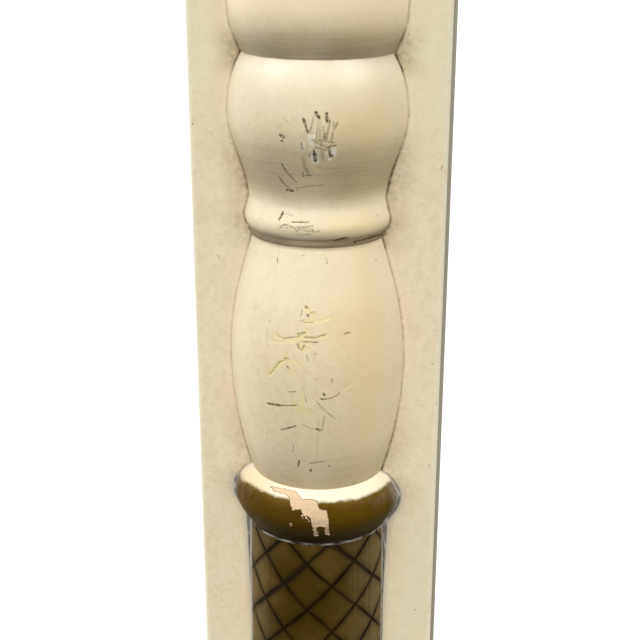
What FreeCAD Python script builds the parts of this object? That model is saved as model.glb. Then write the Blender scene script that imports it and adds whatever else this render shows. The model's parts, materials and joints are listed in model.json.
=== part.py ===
# Wall mirror with a reverse-painted glass tablet over the mirror plate, in a painted frame
# with split turned columns, corner blocks and rosettes, and two ring hangers on its back.
# The front faces -Y and +Z is up. The origin is the centre of the back face. Lengths in mm.
import FreeCAD, Part
import math
import os

from FreeCAD import Vector

# Frame members
FRAME_WIDTH = 660.0
FRAME_HEIGHT = 1066.0
STOCK_WIDTH = 76.0
STOCK_DEPTH = 38.0
EDGE_EASING = 1.2
MID_RAIL_WIDTH = 30.0
MID_RAIL_SETBACK = 4.0
TABLET_SIGHT_HEIGHT = 190.0

# Joints between the rails and the stiles
TENON_LENGTH = 42.0
TENON_THICKNESS = 12.0
TENON_SHOULDER = 6.0
MORTISE_PLAY = 0.15
MORTISE_END_PLAY = 1.0

# Rebates behind the sight edges
SIGHT_LIP = 12.0
GLASS_REBATE = 9.0
LEDGE_WIDTH = 10.0
CUT_OVERRUN = 2.0

# What lies in the rebates
TABLET_THICKNESS = 3.0
MIRROR_THICKNESS = 4.0
CARD_THICKNESS = 1.5
GLASS_PLAY = 1.0
STRIP_WIDTH = 8.0
STRIP_CHAMFER = 3.0
BACKBOARD_THICKNESS = 6.0
BACKBOARD_PLAY = 0.5

# Bead along the mid rail
BEAD_WIDTH = 20.0
BEAD_HEIGHT = 8.0
BEAD_FILLET_WIDTH = 2.0
BEAD_FILLET_HEIGHT = 2.0

# Split turned columns: each axis lies behind the face that the flat back is glued to
COLUMN_SINK = 4.8
BULB_LENGTH = 29.6
BULB_RADIUS = 26.0
BULB_END_RADIUS = 22.3
VASE_LENGTH = 41.0
VASE_RADIUS = 26.6
NECK_RADIUS = 20.8
NECK_BEAD_LENGTH = 10.1
NECK_BEAD_RADIUS = 22.2
NECK_BEAD_FOOT_RADIUS = 21.0
NECK_FILLET_LENGTH = 2.0
NECK_FILLET_RADIUS = 20.6
BARREL_LENGTH = 76.6
BARREL_RADIUS = 27.0
BARREL_TOP_RADIUS = 19.8
BARREL_FOOT_RADIUS = 21.1
COLLAR_LENGTH = 18.6
COLLAR_RADIUS = 27.6
COLLAR_FOOT_RADIUS = 22.5
SHAFT_RADIUS = 22.9
SHAFT_END_RADIUS = 22.3
END_RING_LENGTH = 9.0
END_RING_RADIUS = 25.6
END_COVE_LENGTH = 4.0

# Outline shares: share of the length from the centre outwards, then how far the radius has
# risen from the end radius to the largest one
BULB_OUTLINE_SHARES = [(0.1, 0.37), (0.2, 0.69), (0.31, 0.91), (0.5, 1.0)]
VASE_RISE_SHARES = [(0.11, 0.50), (0.24, 0.84), (0.41, 1.0)]
VASE_FALL_SHARES = [(0.55, 0.88), (0.68, 0.60), (0.82, 0.26)]
NECK_BEAD_RISE_SHARES = [(0.32, 0.42), (0.64, 1.0)]
NECK_BEAD_FALL_SHARES = [(0.86, 0.62)]
BARREL_RISE_SHARES = [(0.12, 0.36), (0.25, 0.72), (0.40, 0.95), (0.52, 1.0)]
BARREL_FALL_SHARES = [(0.67, 0.88), (0.84, 0.53)]
COLLAR_RISE_SHARES = [(0.09, 0.37), (0.25, 0.75), (0.43, 1.0)]
COLLAR_FALL_SHARES = [(0.56, 0.91), (0.68, 0.69), (0.80, 0.35), (0.90, 0.10)]
SHAFT_SWELL_SHARES = [(0.08, 0.55), (0.5, 1.0), (0.92, 0.55)]

# Corner blocks and rosettes
BLOCK_INSET = 1.0
BLOCK_HEIGHT = 23.0
ROSETTE_RADIUS = 30.0
ROSETTE_SEAT_DEPTH = 1.0
ROSETTE_SEAT_PLAY = 0.2
ROSETTE_BASE_HEIGHT = 3.5
ROSETTE_RIM_HEIGHT = 7.0
ROSETTE_RIM_WIDTH = 6.0
ROSETTE_BUTTON_RADIUS = 7.5
ROSETTE_BUTTON_HEIGHT = 9.5
PETAL_COUNT = 10
PETAL_TIP_RADIUS = 5.0
PETAL_SINK = 1.6
PETAL_RIM_GAP = 0.6
PETAL_START_RADIUS = 4.0

# Countersunk screws round the backboard
SCREW_RADIUS = 1.75
SCREW_LENGTH = 20.0
SCREW_POINT_LENGTH = 3.0
SCREW_HEAD_RADIUS = 3.6
SCREW_HEAD_LENGTH = 2.4
SCREW_HEAD_SINK = 0.3
SCREW_SLOT_WIDTH = 0.9
SCREW_SLOT_DEPTH = 1.0
SCREW_PLAY = 0.05
SIDE_SCREW_SHARES = (-0.86, -0.43, 0.0, 0.86)
END_SCREW_SHARES = (-0.8, 0.0, 0.8)
MID_SCREW_SHARES = (-0.5, 0.5)

# Ring hangers on the backs of the stiles
HANGER_DROP = 250.0
STRAP_WIDTH = 12.0
STRAP_LENGTH = 46.0
STRAP_THICKNESS = 1.2
STRAP_LIFT = 0.7
STRAP_BEND_LENGTH = 4.0
RING_BAR_RADIUS = 1.5
RING_BORE_PLAY = 0.08
RING_HALF_WIDTH = 9.5
RING_CORNER_RADIUS = 3.0
RING_DROP = 20.5
HANGER_SCREW_SPACING = 11.0
HANGER_SCREW_FROM_RING = 6.0
HANGER_SCREW_RADIUS = 1.6
HANGER_SCREW_LENGTH = 16.0
HANGER_HEAD_RADIUS = 3.4
HANGER_HEAD_HEIGHT = 1.7

# Whole and half turns, in degrees
FULL_TURN = 360.0
HALF_TURN = 180.0
QUARTER_TURN = 90.0

# Directions in which a half column can run from its centre, as turns about the Y axis
RUNS_UP = 0.0
RUNS_RIGHT = QUARTER_TURN
RUNS_DOWN = HALF_TURN
RUNS_LEFT = QUARTER_TURN + HALF_TURN

ORIGIN = Vector(0, 0, 0)
X_AXIS = Vector(1, 0, 0)
Y_AXIS = Vector(0, 1, 0)
Z_AXIS = Vector(0, 0, 1)

# Planes and edges that several pieces share
FRONT_Y = -STOCK_DEPTH
SEAT_Y = FRONT_Y + SIGHT_LIP
LEDGE_Y = -BACKBOARD_THICKNESS
HALF_WIDTH = FRAME_WIDTH / 2
HALF_HEIGHT = FRAME_HEIGHT / 2
SIGHT_X = HALF_WIDTH - STOCK_WIDTH
SIGHT_Z = HALF_HEIGHT - STOCK_WIDTH
REBATE_X = SIGHT_X + GLASS_REBATE
REBATE_Z = SIGHT_Z + GLASS_REBATE
LEDGE_X = REBATE_X + LEDGE_WIDTH
LEDGE_Z = REBATE_Z + LEDGE_WIDTH
MEMBER_X = HALF_WIDTH - STOCK_WIDTH / 2
MEMBER_Z = HALF_HEIGHT - STOCK_WIDTH / 2
MID_Z = SIGHT_Z - TABLET_SIGHT_HEIGHT - MID_RAIL_WIDTH / 2
MID_WEB_HALF = MID_RAIL_WIDTH / 2 - GLASS_REBATE

# Stations along a half column, measured from its centre
VASE_START = BULB_LENGTH / 2
NECK_START = VASE_START + VASE_LENGTH
FILLET_START = NECK_START + NECK_BEAD_LENGTH
BARREL_START = FILLET_START + NECK_FILLET_LENGTH
COLLAR_START = BARREL_START + BARREL_LENGTH
SHAFT_START = COLLAR_START + COLLAR_LENGTH
BLOCK_HALF = STOCK_WIDTH / 2 - BLOCK_INSET


def box_between(low, high):
    """A block from its lowest corner to its highest."""
    size = high - low
    return Part.makeBox(size.x, size.y, size.z, low)


def eased_bar(width, depth, length):
    """A bar along Z with its back on y = 0 and its two long front edges rounded."""
    half = width / 2
    slack = EDGE_EASING * (1 - 0.5 ** 0.5)
    flat_half = half - EDGE_EASING
    shoulder = -depth + EDGE_EASING
    back_left = Vector(-half, 0, 0)
    side_left = Vector(-half, shoulder, 0)
    front_left = Vector(-flat_half, -depth, 0)
    front_right = Vector(flat_half, -depth, 0)
    side_right = Vector(half, shoulder, 0)
    back_right = Vector(half, 0, 0)
    mid_left = Vector(slack - half, slack - depth, 0)
    mid_right = Vector(half - slack, slack - depth, 0)
    edges = [
        Part.LineSegment(back_left, side_left),
        Part.Arc(side_left, mid_left, front_left),
        Part.LineSegment(front_left, front_right),
        Part.Arc(front_right, mid_right, side_right),
        Part.LineSegment(side_right, back_right),
        Part.LineSegment(back_right, back_left),
    ]
    outline = Part.Wire([edge.toShape() for edge in edges])
    bar = Part.Face(outline).extrude(Z_AXIS * length)
    bar.translate(Z_AXIS * (-length / 2))
    return bar


def cap_middle(radius, height):
    """Radius and height halfway up the side of a spherical cap with this foot and height."""
    ball = (radius ** 2 + height ** 2) / (2 * height)
    half_angle = math.atan2(radius, ball - height) / 2
    return ball * math.sin(half_angle), height - ball + ball * math.cos(half_angle)


def glass_pocket():
    """The hollow behind the sight lips that takes the glass."""
    low = Vector(-REBATE_X, SEAT_Y, -REBATE_Z)
    high = Vector(REBATE_X, CUT_OVERRUN, REBATE_Z)
    return box_between(low, high)


def backboard_pocket():
    """The wider, shallow hollow that takes the backboard flush with the frame's back."""
    low = Vector(-LEDGE_X, LEDGE_Y, -LEDGE_Z)
    high = Vector(LEDGE_X, CUT_OVERRUN, LEDGE_Z)
    return box_between(low, high)


def tenon(side, level, play, end_play):
    """The tongue of a rail in a stile: side and level are -1 or 1, play makes it the mortise."""
    middle_y = -STOCK_DEPTH / 2
    near_x = SIGHT_X - play
    far_x = SIGHT_X + TENON_LENGTH + end_play
    near_z = REBATE_Z + TENON_SHOULDER - play
    far_z = HALF_HEIGHT - TENON_SHOULDER + play
    half_thickness = TENON_THICKNESS / 2 + play
    xs = sorted((side * near_x, side * far_x))
    zs = sorted((level * near_z, level * far_z))
    low = Vector(xs[0], middle_y - half_thickness, zs[0])
    high = Vector(xs[1], middle_y + half_thickness, zs[1])
    return box_between(low, high)


def stile(side):
    """A full-height upright with its rebates, its two mortises and its screw holes."""
    bar = eased_bar(STOCK_WIDTH, STOCK_DEPTH, FRAME_HEIGHT)
    bar.translate(X_AXIS * (side * MEMBER_X))
    cutters = [glass_pocket(), backboard_pocket()]
    for level in (-1, 1):
        cutters.append(tenon(side, level, MORTISE_PLAY, MORTISE_END_PLAY))
    cutters.extend(screw_holes())
    cutters.extend(hanger_screw(side, index, SCREW_PLAY) for index in (0, 1))
    return bar.cut(cutters)


def end_rail(level):
    """The top or bottom rail between the stiles, with a tenon at each end."""
    bar = eased_bar(STOCK_WIDTH, STOCK_DEPTH, 2 * SIGHT_X)
    bar.rotate(ORIGIN, Y_AXIS, QUARTER_TURN)
    bar.translate(Z_AXIS * (level * MEMBER_Z))
    bar = bar.cut([glass_pocket(), backboard_pocket()] + screw_holes())
    tongues = [tenon(side, level, 0, 0) for side in (-1, 1)]
    return bar.fuse(tongues).removeSplitter()


def mid_rail():
    """The slim bar between tablet and mirror, with a web that reaches into the stile rebates."""
    lip_depth = SIGHT_LIP - MID_RAIL_SETBACK
    lip = eased_bar(MID_RAIL_WIDTH, lip_depth, 2 * SIGHT_X)
    lip.rotate(ORIGIN, Y_AXIS, QUARTER_TURN)
    lip.translate(Vector(0, SEAT_Y, MID_Z))
    web_reach = REBATE_X - MORTISE_PLAY
    web = box_between(
        Vector(-web_reach, SEAT_Y, MID_Z - MID_WEB_HALF),
        Vector(web_reach, LEDGE_Y, MID_Z + MID_WEB_HALF),
    )
    return lip.fuse(web).removeSplitter().cut(screw_holes())


def mid_bead():
    """A half-round bead with a small fillet along each side, on the mid rail's face."""
    half = BEAD_WIDTH / 2
    round_half = half - BEAD_FILLET_WIDTH
    face_y = FRONT_Y + MID_RAIL_SETBACK
    step_y = -BEAD_FILLET_HEIGHT
    corners = [
        Vector(0, 0, -half),
        Vector(0, step_y, -half),
        Vector(0, step_y, -round_half),
        Vector(0, -BEAD_HEIGHT, 0),
        Vector(0, step_y, round_half),
        Vector(0, step_y, half),
        Vector(0, 0, half),
    ]
    edges = [
        Part.LineSegment(corners[0], corners[1]),
        Part.LineSegment(corners[1], corners[2]),
        Part.Arc(corners[2], corners[3], corners[4]),
        Part.LineSegment(corners[4], corners[5]),
        Part.LineSegment(corners[5], corners[6]),
        Part.LineSegment(corners[6], corners[0]),
    ]
    outline = Part.Wire([edge.toShape() for edge in edges])
    bead = Part.Face(outline).extrude(X_AXIS * (2 * SIGHT_X))
    bead.translate(Vector(-SIGHT_X, face_y, MID_Z))
    return bead


def risen(base, top, shares, start, length):
    """Outline points whose radius rises from base to top by the given shares."""
    return [(start + at * length, base + rise * (top - base)) for at, rise in shares]


def baluster_runs():
    """Outline of the middle turning from its centre to its barrel's foot, bulb left out."""
    vase = [(VASE_START, BULB_END_RADIUS)]
    vase += risen(BULB_END_RADIUS, VASE_RADIUS, VASE_RISE_SHARES, VASE_START, VASE_LENGTH)
    vase += risen(NECK_RADIUS, VASE_RADIUS, VASE_FALL_SHARES, VASE_START, VASE_LENGTH)
    vase += [(NECK_START, NECK_RADIUS)]
    vase += risen(
        NECK_RADIUS, NECK_BEAD_RADIUS, NECK_BEAD_RISE_SHARES, NECK_START, NECK_BEAD_LENGTH)
    vase += risen(
        NECK_BEAD_FOOT_RADIUS, NECK_BEAD_RADIUS, NECK_BEAD_FALL_SHARES, NECK_START,
        NECK_BEAD_LENGTH)
    vase += [(FILLET_START, NECK_BEAD_FOOT_RADIUS)]
    step_in = [(FILLET_START, NECK_BEAD_FOOT_RADIUS), (FILLET_START, NECK_FILLET_RADIUS)]
    fillet = [(FILLET_START, NECK_FILLET_RADIUS), (BARREL_START, NECK_FILLET_RADIUS)]
    step_down = [(BARREL_START, NECK_FILLET_RADIUS), (BARREL_START, BARREL_TOP_RADIUS)]
    barrel = [(BARREL_START, BARREL_TOP_RADIUS)]
    barrel += risen(
        BARREL_TOP_RADIUS, BARREL_RADIUS, BARREL_RISE_SHARES, BARREL_START, BARREL_LENGTH)
    barrel += risen(
        BARREL_FOOT_RADIUS, BARREL_RADIUS, BARREL_FALL_SHARES, BARREL_START, BARREL_LENGTH)
    barrel += [(COLLAR_START, BARREL_FOOT_RADIUS)]
    return [vase, step_in, fillet, step_down, barrel]


def mirrored_runs(runs):
    """The same outline on the other side of the centre, in rising order."""
    return [[(-at, radius) for at, radius in reversed(run)] for run in reversed(runs)]


def outline_edges(runs):
    """Edges of a turned outline: a run of two points is straight, a longer one is smooth."""
    edges = []
    for run in runs:
        corners = [Vector(radius, 0, at) for at, radius in run]
        if len(corners) == 2:
            edges.append(Part.LineSegment(corners[0], corners[1]).toShape())
            continue
        curve = Part.BSplineCurve()
        curve.interpolate(corners)
        edges.append(curve.toShape())
    return edges


def half_turning(runs):
    """A turning split along its length: flat back on y = 0, its axis COLUMN_SINK behind."""
    low_at, low_radius = runs[0][0]
    high_at, high_radius = runs[-1][-1]
    corners = [
        Vector(high_radius, 0, high_at),
        Vector(0, 0, high_at),
        Vector(0, 0, low_at),
        Vector(low_radius, 0, low_at),
    ]
    edges = outline_edges(runs)
    for start, end in zip(corners, corners[1:]):
        edges.append(Part.LineSegment(start, end).toShape())
    whole = Part.Face(Part.Wire(edges)).revolve(ORIGIN, -Z_AXIS, HALF_TURN)
    whole.translate(Y_AXIS * COLUMN_SINK)
    reach = 2 * max(radius for run in runs for at, radius in run)
    front = box_between(Vector(-reach, -reach, low_at), Vector(reach, 0, high_at))
    return whole.common(front)


def baluster():
    """The middle turning: a bulb between two vases, each with a neck bead and a barrel."""
    bulb_rise = risen(
        BULB_END_RADIUS, BULB_RADIUS, BULB_OUTLINE_SHARES, -BULB_LENGTH / 2, BULB_LENGTH)
    bulb_fall = [(-at, radius) for at, radius in reversed(bulb_rise[:-1])]
    ends = [(-VASE_START, BULB_END_RADIUS), (VASE_START, BULB_END_RADIUS)]
    bulb = ends[:1] + bulb_rise + bulb_fall + ends[1:]
    outer = baluster_runs()
    return half_turning(mirrored_runs(outer) + [bulb] + outer)


def collar():
    """The gilt cushion collar between a barrel and a shaft."""
    run = [(COLLAR_START, BARREL_FOOT_RADIUS)]
    run += risen(
        BARREL_FOOT_RADIUS, COLLAR_RADIUS, COLLAR_RISE_SHARES, COLLAR_START, COLLAR_LENGTH)
    run += risen(
        COLLAR_FOOT_RADIUS, COLLAR_RADIUS, COLLAR_FALL_SHARES, COLLAR_START, COLLAR_LENGTH)
    run += [(SHAFT_START, COLLAR_FOOT_RADIUS)]
    return half_turning([run])


def shaft(column_half):
    """The slightly swelling shaft from the collar to a ring against the corner block."""
    cove_end = column_half - END_RING_LENGTH
    shaft_end = cove_end - END_COVE_LENGTH
    length = shaft_end - SHAFT_START
    swell = [(SHAFT_START, SHAFT_END_RADIUS)]
    swell += risen(SHAFT_END_RADIUS, SHAFT_RADIUS, SHAFT_SWELL_SHARES, SHAFT_START, length)
    swell += [(shaft_end, SHAFT_END_RADIUS)]
    cove_radius = (SHAFT_END_RADIUS + END_RING_RADIUS) / 2
    middle_at = (shaft_end + cove_end) / 2
    cove_dip = (SHAFT_END_RADIUS + cove_radius) / 2
    cove = [(shaft_end, SHAFT_END_RADIUS), (middle_at, cove_dip), (cove_end, END_RING_RADIUS)]
    ring = [(cove_end, END_RING_RADIUS), (column_half, END_RING_RADIUS)]
    return half_turning([swell, cove, ring])


def placed(piece, turn, centre_x, centre_z):
    """A half-column piece turned about Y and set on the frame's face."""
    copy = piece.copy()
    copy.rotate(ORIGIN, Y_AXIS, turn)
    copy.translate(Vector(centre_x, FRONT_Y, centre_z))
    return copy


def columns():
    """The four split columns: those on the stiles are longer than those on the rails."""
    stile_half = MEMBER_Z - BLOCK_HALF
    rail_half = MEMBER_X - BLOCK_HALF
    upright_ends = {"upper": RUNS_UP, "lower": RUNS_DOWN}
    level_ends = {"right": RUNS_RIGHT, "left": RUNS_LEFT}
    layout = {
        "left": (-MEMBER_X, 0, stile_half, upright_ends),
        "right": (MEMBER_X, 0, stile_half, upright_ends),
        "top": (0, MEMBER_Z, rail_half, level_ends),
        "bottom": (0, -MEMBER_Z, rail_half, level_ends),
    }
    middle = baluster()
    cushion = collar()
    nodes = {}
    for name, (centre_x, centre_z, half, ends) in layout.items():
        first_turn = next(iter(ends.values()))
        nodes[name + "_baluster"] = placed(middle, first_turn, centre_x, centre_z)
        long_shaft = shaft(half)
        for end, turn in ends.items():
            nodes[name + "_collar_" + end] = placed(cushion, turn, centre_x, centre_z)
            nodes[name + "_shaft_" + end] = placed(long_shaft, turn, centre_x, centre_z)
    return nodes


def corner_block():
    """A square block with rounded front edges and a round seat for its rosette."""
    width = 2 * BLOCK_HALF
    upright = eased_bar(width, BLOCK_HEIGHT, width)
    level = eased_bar(width, BLOCK_HEIGHT, width)
    level.rotate(ORIGIN, Y_AXIS, QUARTER_TURN)
    block = upright.common(level)
    seat_y = -BLOCK_HEIGHT + ROSETTE_SEAT_DEPTH
    seat = Part.makeCylinder(
        ROSETTE_RADIUS + ROSETTE_SEAT_PLAY, ROSETTE_SEAT_DEPTH + CUT_OVERRUN,
        Y_AXIS * seat_y, -Y_AXIS)
    return block.cut(seat)


def petal():
    """A drop-shaped petal along X, pointed at the button and round at the rim, half sunk."""
    tip = PETAL_TIP_RADIUS
    centre_x = ROSETTE_RADIUS - ROSETTE_RIM_WIDTH - PETAL_RIM_GAP - tip
    level = ROSETTE_BASE_HEIGHT - PETAL_SINK
    slope = math.asin(tip / (centre_x - PETAL_START_RADIUS))
    start = Vector(PETAL_START_RADIUS, 0, level)
    tangent = Vector(centre_x - tip * math.sin(slope), 0, level + tip * math.cos(slope))
    crest = Vector(centre_x, 0, level + tip)
    end = Vector(centre_x + tip, 0, level)
    edges = [
        Part.LineSegment(start, tangent).toShape(),
        Part.Arc(tangent, crest, end).toShape(),
        Part.LineSegment(end, start).toShape(),
    ]
    drop = Part.Face(Part.Wire(edges)).revolve(start, X_AXIS, FULL_TURN)
    low = Vector(0, -tip, ROSETTE_BASE_HEIGHT / 2)
    high = Vector(ROSETTE_RADIUS, tip, ROSETTE_BUTTON_HEIGHT)
    return drop.common(box_between(low, high))


def rosette():
    """A turned rosette with a raised rim, a centre button and a ring of petals."""
    rim_middle = ROSETTE_RADIUS - ROSETTE_RIM_WIDTH / 2
    rim_inner = ROSETTE_RADIUS - ROSETTE_RIM_WIDTH
    field = ROSETTE_BASE_HEIGHT
    button_radius, button_rise = cap_middle(
        ROSETTE_BUTTON_RADIUS, ROSETTE_BUTTON_HEIGHT - field)
    centre_back = Vector(0, 0, 0)
    edge_back = Vector(ROSETTE_RADIUS, 0, 0)
    edge_front = Vector(ROSETTE_RADIUS, 0, field)
    rim_top = Vector(rim_middle, 0, ROSETTE_RIM_HEIGHT)
    rim_foot = Vector(rim_inner, 0, field)
    button_foot = Vector(ROSETTE_BUTTON_RADIUS, 0, field)
    button_side = Vector(button_radius, 0, field + button_rise)
    button_top = Vector(0, 0, ROSETTE_BUTTON_HEIGHT)
    edges = [
        Part.LineSegment(centre_back, edge_back),
        Part.LineSegment(edge_back, edge_front),
        Part.Arc(edge_front, rim_top, rim_foot),
        Part.LineSegment(rim_foot, button_foot),
        Part.Arc(button_foot, button_side, button_top),
        Part.LineSegment(button_top, centre_back),
    ]
    outline = Part.Wire([edge.toShape() for edge in edges])
    body = Part.Face(outline).revolve(ORIGIN, Z_AXIS, FULL_TURN)
    first = petal()
    petals = []
    for index in range(PETAL_COUNT):
        copy = first.copy()
        copy.rotate(ORIGIN, Z_AXIS, FULL_TURN * index / PETAL_COUNT)
        petals.append(copy)
    whole = body.fuse(petals).removeSplitter()
    whole.rotate(ORIGIN, X_AXIS, QUARTER_TURN)
    return whole


def corners():
    """A corner block and a rosette at each corner of the frame."""
    block = corner_block()
    flower = rosette()
    block_face = FRONT_Y - BLOCK_HEIGHT + ROSETTE_SEAT_DEPTH
    nodes = {}
    for level_name, level in (("top", 1), ("bottom", -1)):
        for side_name, side in (("left", -1), ("right", 1)):
            name = level_name + "_" + side_name
            nodes["corner_block_" + name] = placed(block, 0, side * MEMBER_X, level * MEMBER_Z)
            copy = flower.copy()
            copy.translate(Vector(side * MEMBER_X, block_face, level * MEMBER_Z))
            nodes["rosette_" + name] = copy
    return nodes


def pane(low_z, high_z, front_y, thickness):
    """A sheet across the glass rebate, clear of its walls by the glass play."""
    reach = REBATE_X - GLASS_PLAY
    low = Vector(-reach, front_y, low_z + GLASS_PLAY)
    high = Vector(reach, front_y + thickness, high_z - GLASS_PLAY)
    return box_between(low, high)


def strip(length, depth):
    """A rebate strip along Z: its outer side on x = 0, its back on y = 0, chamfered inside."""
    corners = [
        Vector(0, 0, 0),
        Vector(-STRIP_WIDTH, 0, 0),
        Vector(-STRIP_WIDTH, -depth + STRIP_CHAMFER, 0),
        Vector(-STRIP_WIDTH + STRIP_CHAMFER, -depth, 0),
        Vector(0, -depth, 0),
        Vector(0, 0, 0),
    ]
    bar = Part.Face(Part.makePolygon(corners)).extrude(Z_AXIS * length)
    bar.translate(Z_AXIS * (-length / 2))
    return bar


def rebate_strips(prefix, low_z, high_z, front_y):
    """Four strips that press a pane forward: sides full height, ends between them."""
    depth = LEDGE_Y - front_y
    middle_z = (low_z + high_z) / 2
    side_bar = strip(high_z - low_z, depth)
    end_bar = strip(2 * (REBATE_X - STRIP_WIDTH), depth)
    places = {
        "right": (side_bar, 0, Vector(REBATE_X, LEDGE_Y, middle_z)),
        "left": (side_bar, HALF_TURN, Vector(-REBATE_X, LEDGE_Y, middle_z)),
        "top": (end_bar, -QUARTER_TURN, Vector(0, LEDGE_Y, high_z)),
        "bottom": (end_bar, QUARTER_TURN, Vector(0, LEDGE_Y, low_z)),
    }
    nodes = {}
    for name, (bar, turn, place) in places.items():
        copy = bar.copy()
        copy.rotate(ORIGIN, Y_AXIS, turn)
        copy.translate(place)
        nodes[prefix + "_strip_" + name] = copy
    return nodes


def glazing():
    """Tablet, mirror plate, the cards behind them and their strips."""
    web_top = MID_Z + MID_WEB_HALF
    web_foot = MID_Z - MID_WEB_HALF
    tablet_back = SEAT_Y + TABLET_THICKNESS
    mirror_back = SEAT_Y + MIRROR_THICKNESS
    nodes = {
        "tablet_glass": pane(web_top, REBATE_Z, SEAT_Y, TABLET_THICKNESS),
        "tablet_card": pane(web_top, REBATE_Z, tablet_back, CARD_THICKNESS),
        "mirror_plate": pane(-REBATE_Z, web_foot, SEAT_Y, MIRROR_THICKNESS),
        "mirror_card": pane(-REBATE_Z, web_foot, mirror_back, CARD_THICKNESS),
    }
    nodes.update(rebate_strips("tablet", web_top, REBATE_Z, tablet_back + CARD_THICKNESS))
    nodes.update(rebate_strips("mirror", -REBATE_Z, web_foot, mirror_back + CARD_THICKNESS))
    return nodes


def screw_places():
    """Where the backboard screws go: round the ledge and into the mid rail."""
    edge_x = REBATE_X + LEDGE_WIDTH / 2
    edge_z = REBATE_Z + LEDGE_WIDTH / 2
    places = []
    for side in (-1, 1):
        places += [(side * edge_x, share * SIGHT_Z) for share in SIDE_SCREW_SHARES]
    for level in (-1, 1):
        places += [(share * SIGHT_X, level * edge_z) for share in END_SCREW_SHARES]
    places += [(share * SIGHT_X, MID_Z) for share in MID_SCREW_SHARES]
    return places


def screw_shape(play):
    """A countersunk wood screw that points to -Y, its head just below y = 0."""
    head_y = -SCREW_HEAD_SINK
    if play:
        head_y = 0
    radius = SCREW_RADIUS + play
    head_radius = SCREW_HEAD_RADIUS + play
    neck_y = -SCREW_HEAD_SINK - SCREW_HEAD_LENGTH
    tip_y = -SCREW_LENGTH - play
    point_y = tip_y + SCREW_POINT_LENGTH
    corners = [
        Vector(0, head_y, 0),
        Vector(head_radius, head_y, 0),
        Vector(head_radius, -SCREW_HEAD_SINK, 0),
        Vector(radius, neck_y, 0),
        Vector(radius, point_y, 0),
        Vector(0, tip_y, 0),
        Vector(0, head_y, 0),
    ]
    if not play:
        del corners[2]
    outline = Part.makePolygon(corners)
    return Part.Face(outline).revolve(ORIGIN, Y_AXIS, FULL_TURN)


def screw_holes():
    """Cutters for the backboard screws, a little wider than the screws."""
    hole = screw_shape(SCREW_PLAY)
    cutters = []
    for place_x, place_z in screw_places():
        copy = hole.copy()
        copy.translate(Vector(place_x, 0, place_z))
        cutters.append(copy)
    return cutters


def backboard_screws():
    """The slotted screws that hold the backboard, as one group."""
    slot_half = SCREW_SLOT_WIDTH / 2
    floor_y = -SCREW_HEAD_SINK - SCREW_SLOT_DEPTH
    slot = box_between(
        Vector(-SCREW_HEAD_RADIUS, floor_y, -slot_half),
        Vector(SCREW_HEAD_RADIUS, 0, slot_half),
    )
    screw = screw_shape(0).cut(slot)
    screws = []
    for place_x, place_z in screw_places():
        copy = screw.copy()
        copy.translate(Vector(place_x, 0, place_z))
        screws.append(copy)
    return Part.makeCompound(screws)


def backboard():
    """The plywood back, flush with the frame, with its countersunk holes."""
    reach_x = LEDGE_X - BACKBOARD_PLAY
    reach_z = LEDGE_Z - BACKBOARD_PLAY
    board = box_between(Vector(-reach_x, LEDGE_Y, -reach_z), Vector(reach_x, 0, reach_z))
    return board.cut(screw_holes())


def hanger_axis(side):
    """Where a hanger's ring turns: on the stile's back, above the strap."""
    clear_x = (LEDGE_X + HALF_WIDTH) / 2
    bore = RING_BAR_RADIUS + RING_BORE_PLAY
    axis_y = STRAP_LIFT + STRAP_THICKNESS + bore
    return Vector(side * clear_x, axis_y, HALF_HEIGHT - HANGER_DROP)


def hanger_screw_z(index):
    """Height of a strap screw below the ring's axis."""
    below_ring = RING_DROP + RING_BAR_RADIUS + HANGER_SCREW_FROM_RING
    return -below_ring - index * HANGER_SCREW_SPACING


def hanger_screw(side, index, play):
    """A round-headed screw through a strap, or its pilot hole in the stile if play is set."""
    axis = hanger_axis(side)
    centre = Vector(axis.x, STRAP_THICKNESS, axis.z + hanger_screw_z(index))
    shank = Part.makeCylinder(
        HANGER_SCREW_RADIUS + play, HANGER_SCREW_LENGTH + play, centre, -Y_AXIS)
    if play:
        return shank
    rim = Vector(HANGER_HEAD_RADIUS, 0, 0)
    crown = Y_AXIS * HANGER_HEAD_HEIGHT
    middle_radius, middle_rise = cap_middle(HANGER_HEAD_RADIUS, HANGER_HEAD_HEIGHT)
    middle = Vector(middle_radius, middle_rise, 0)
    edges = [
        Part.Arc(rim, middle, crown).toShape(),
        Part.LineSegment(crown, ORIGIN).toShape(),
        Part.LineSegment(ORIGIN, rim).toShape(),
    ]
    head = Part.Face(Part.Wire(edges)).revolve(ORIGIN, Y_AXIS, FULL_TURN)
    slot_half = SCREW_SLOT_WIDTH / 2
    slot = box_between(
        Vector(-HANGER_HEAD_RADIUS, HANGER_HEAD_HEIGHT - SCREW_SLOT_DEPTH, -slot_half),
        Vector(HANGER_HEAD_RADIUS, HANGER_HEAD_HEIGHT, slot_half),
    )
    head = head.cut(slot)
    head.translate(centre)
    return shank.fuse(head)


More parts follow.
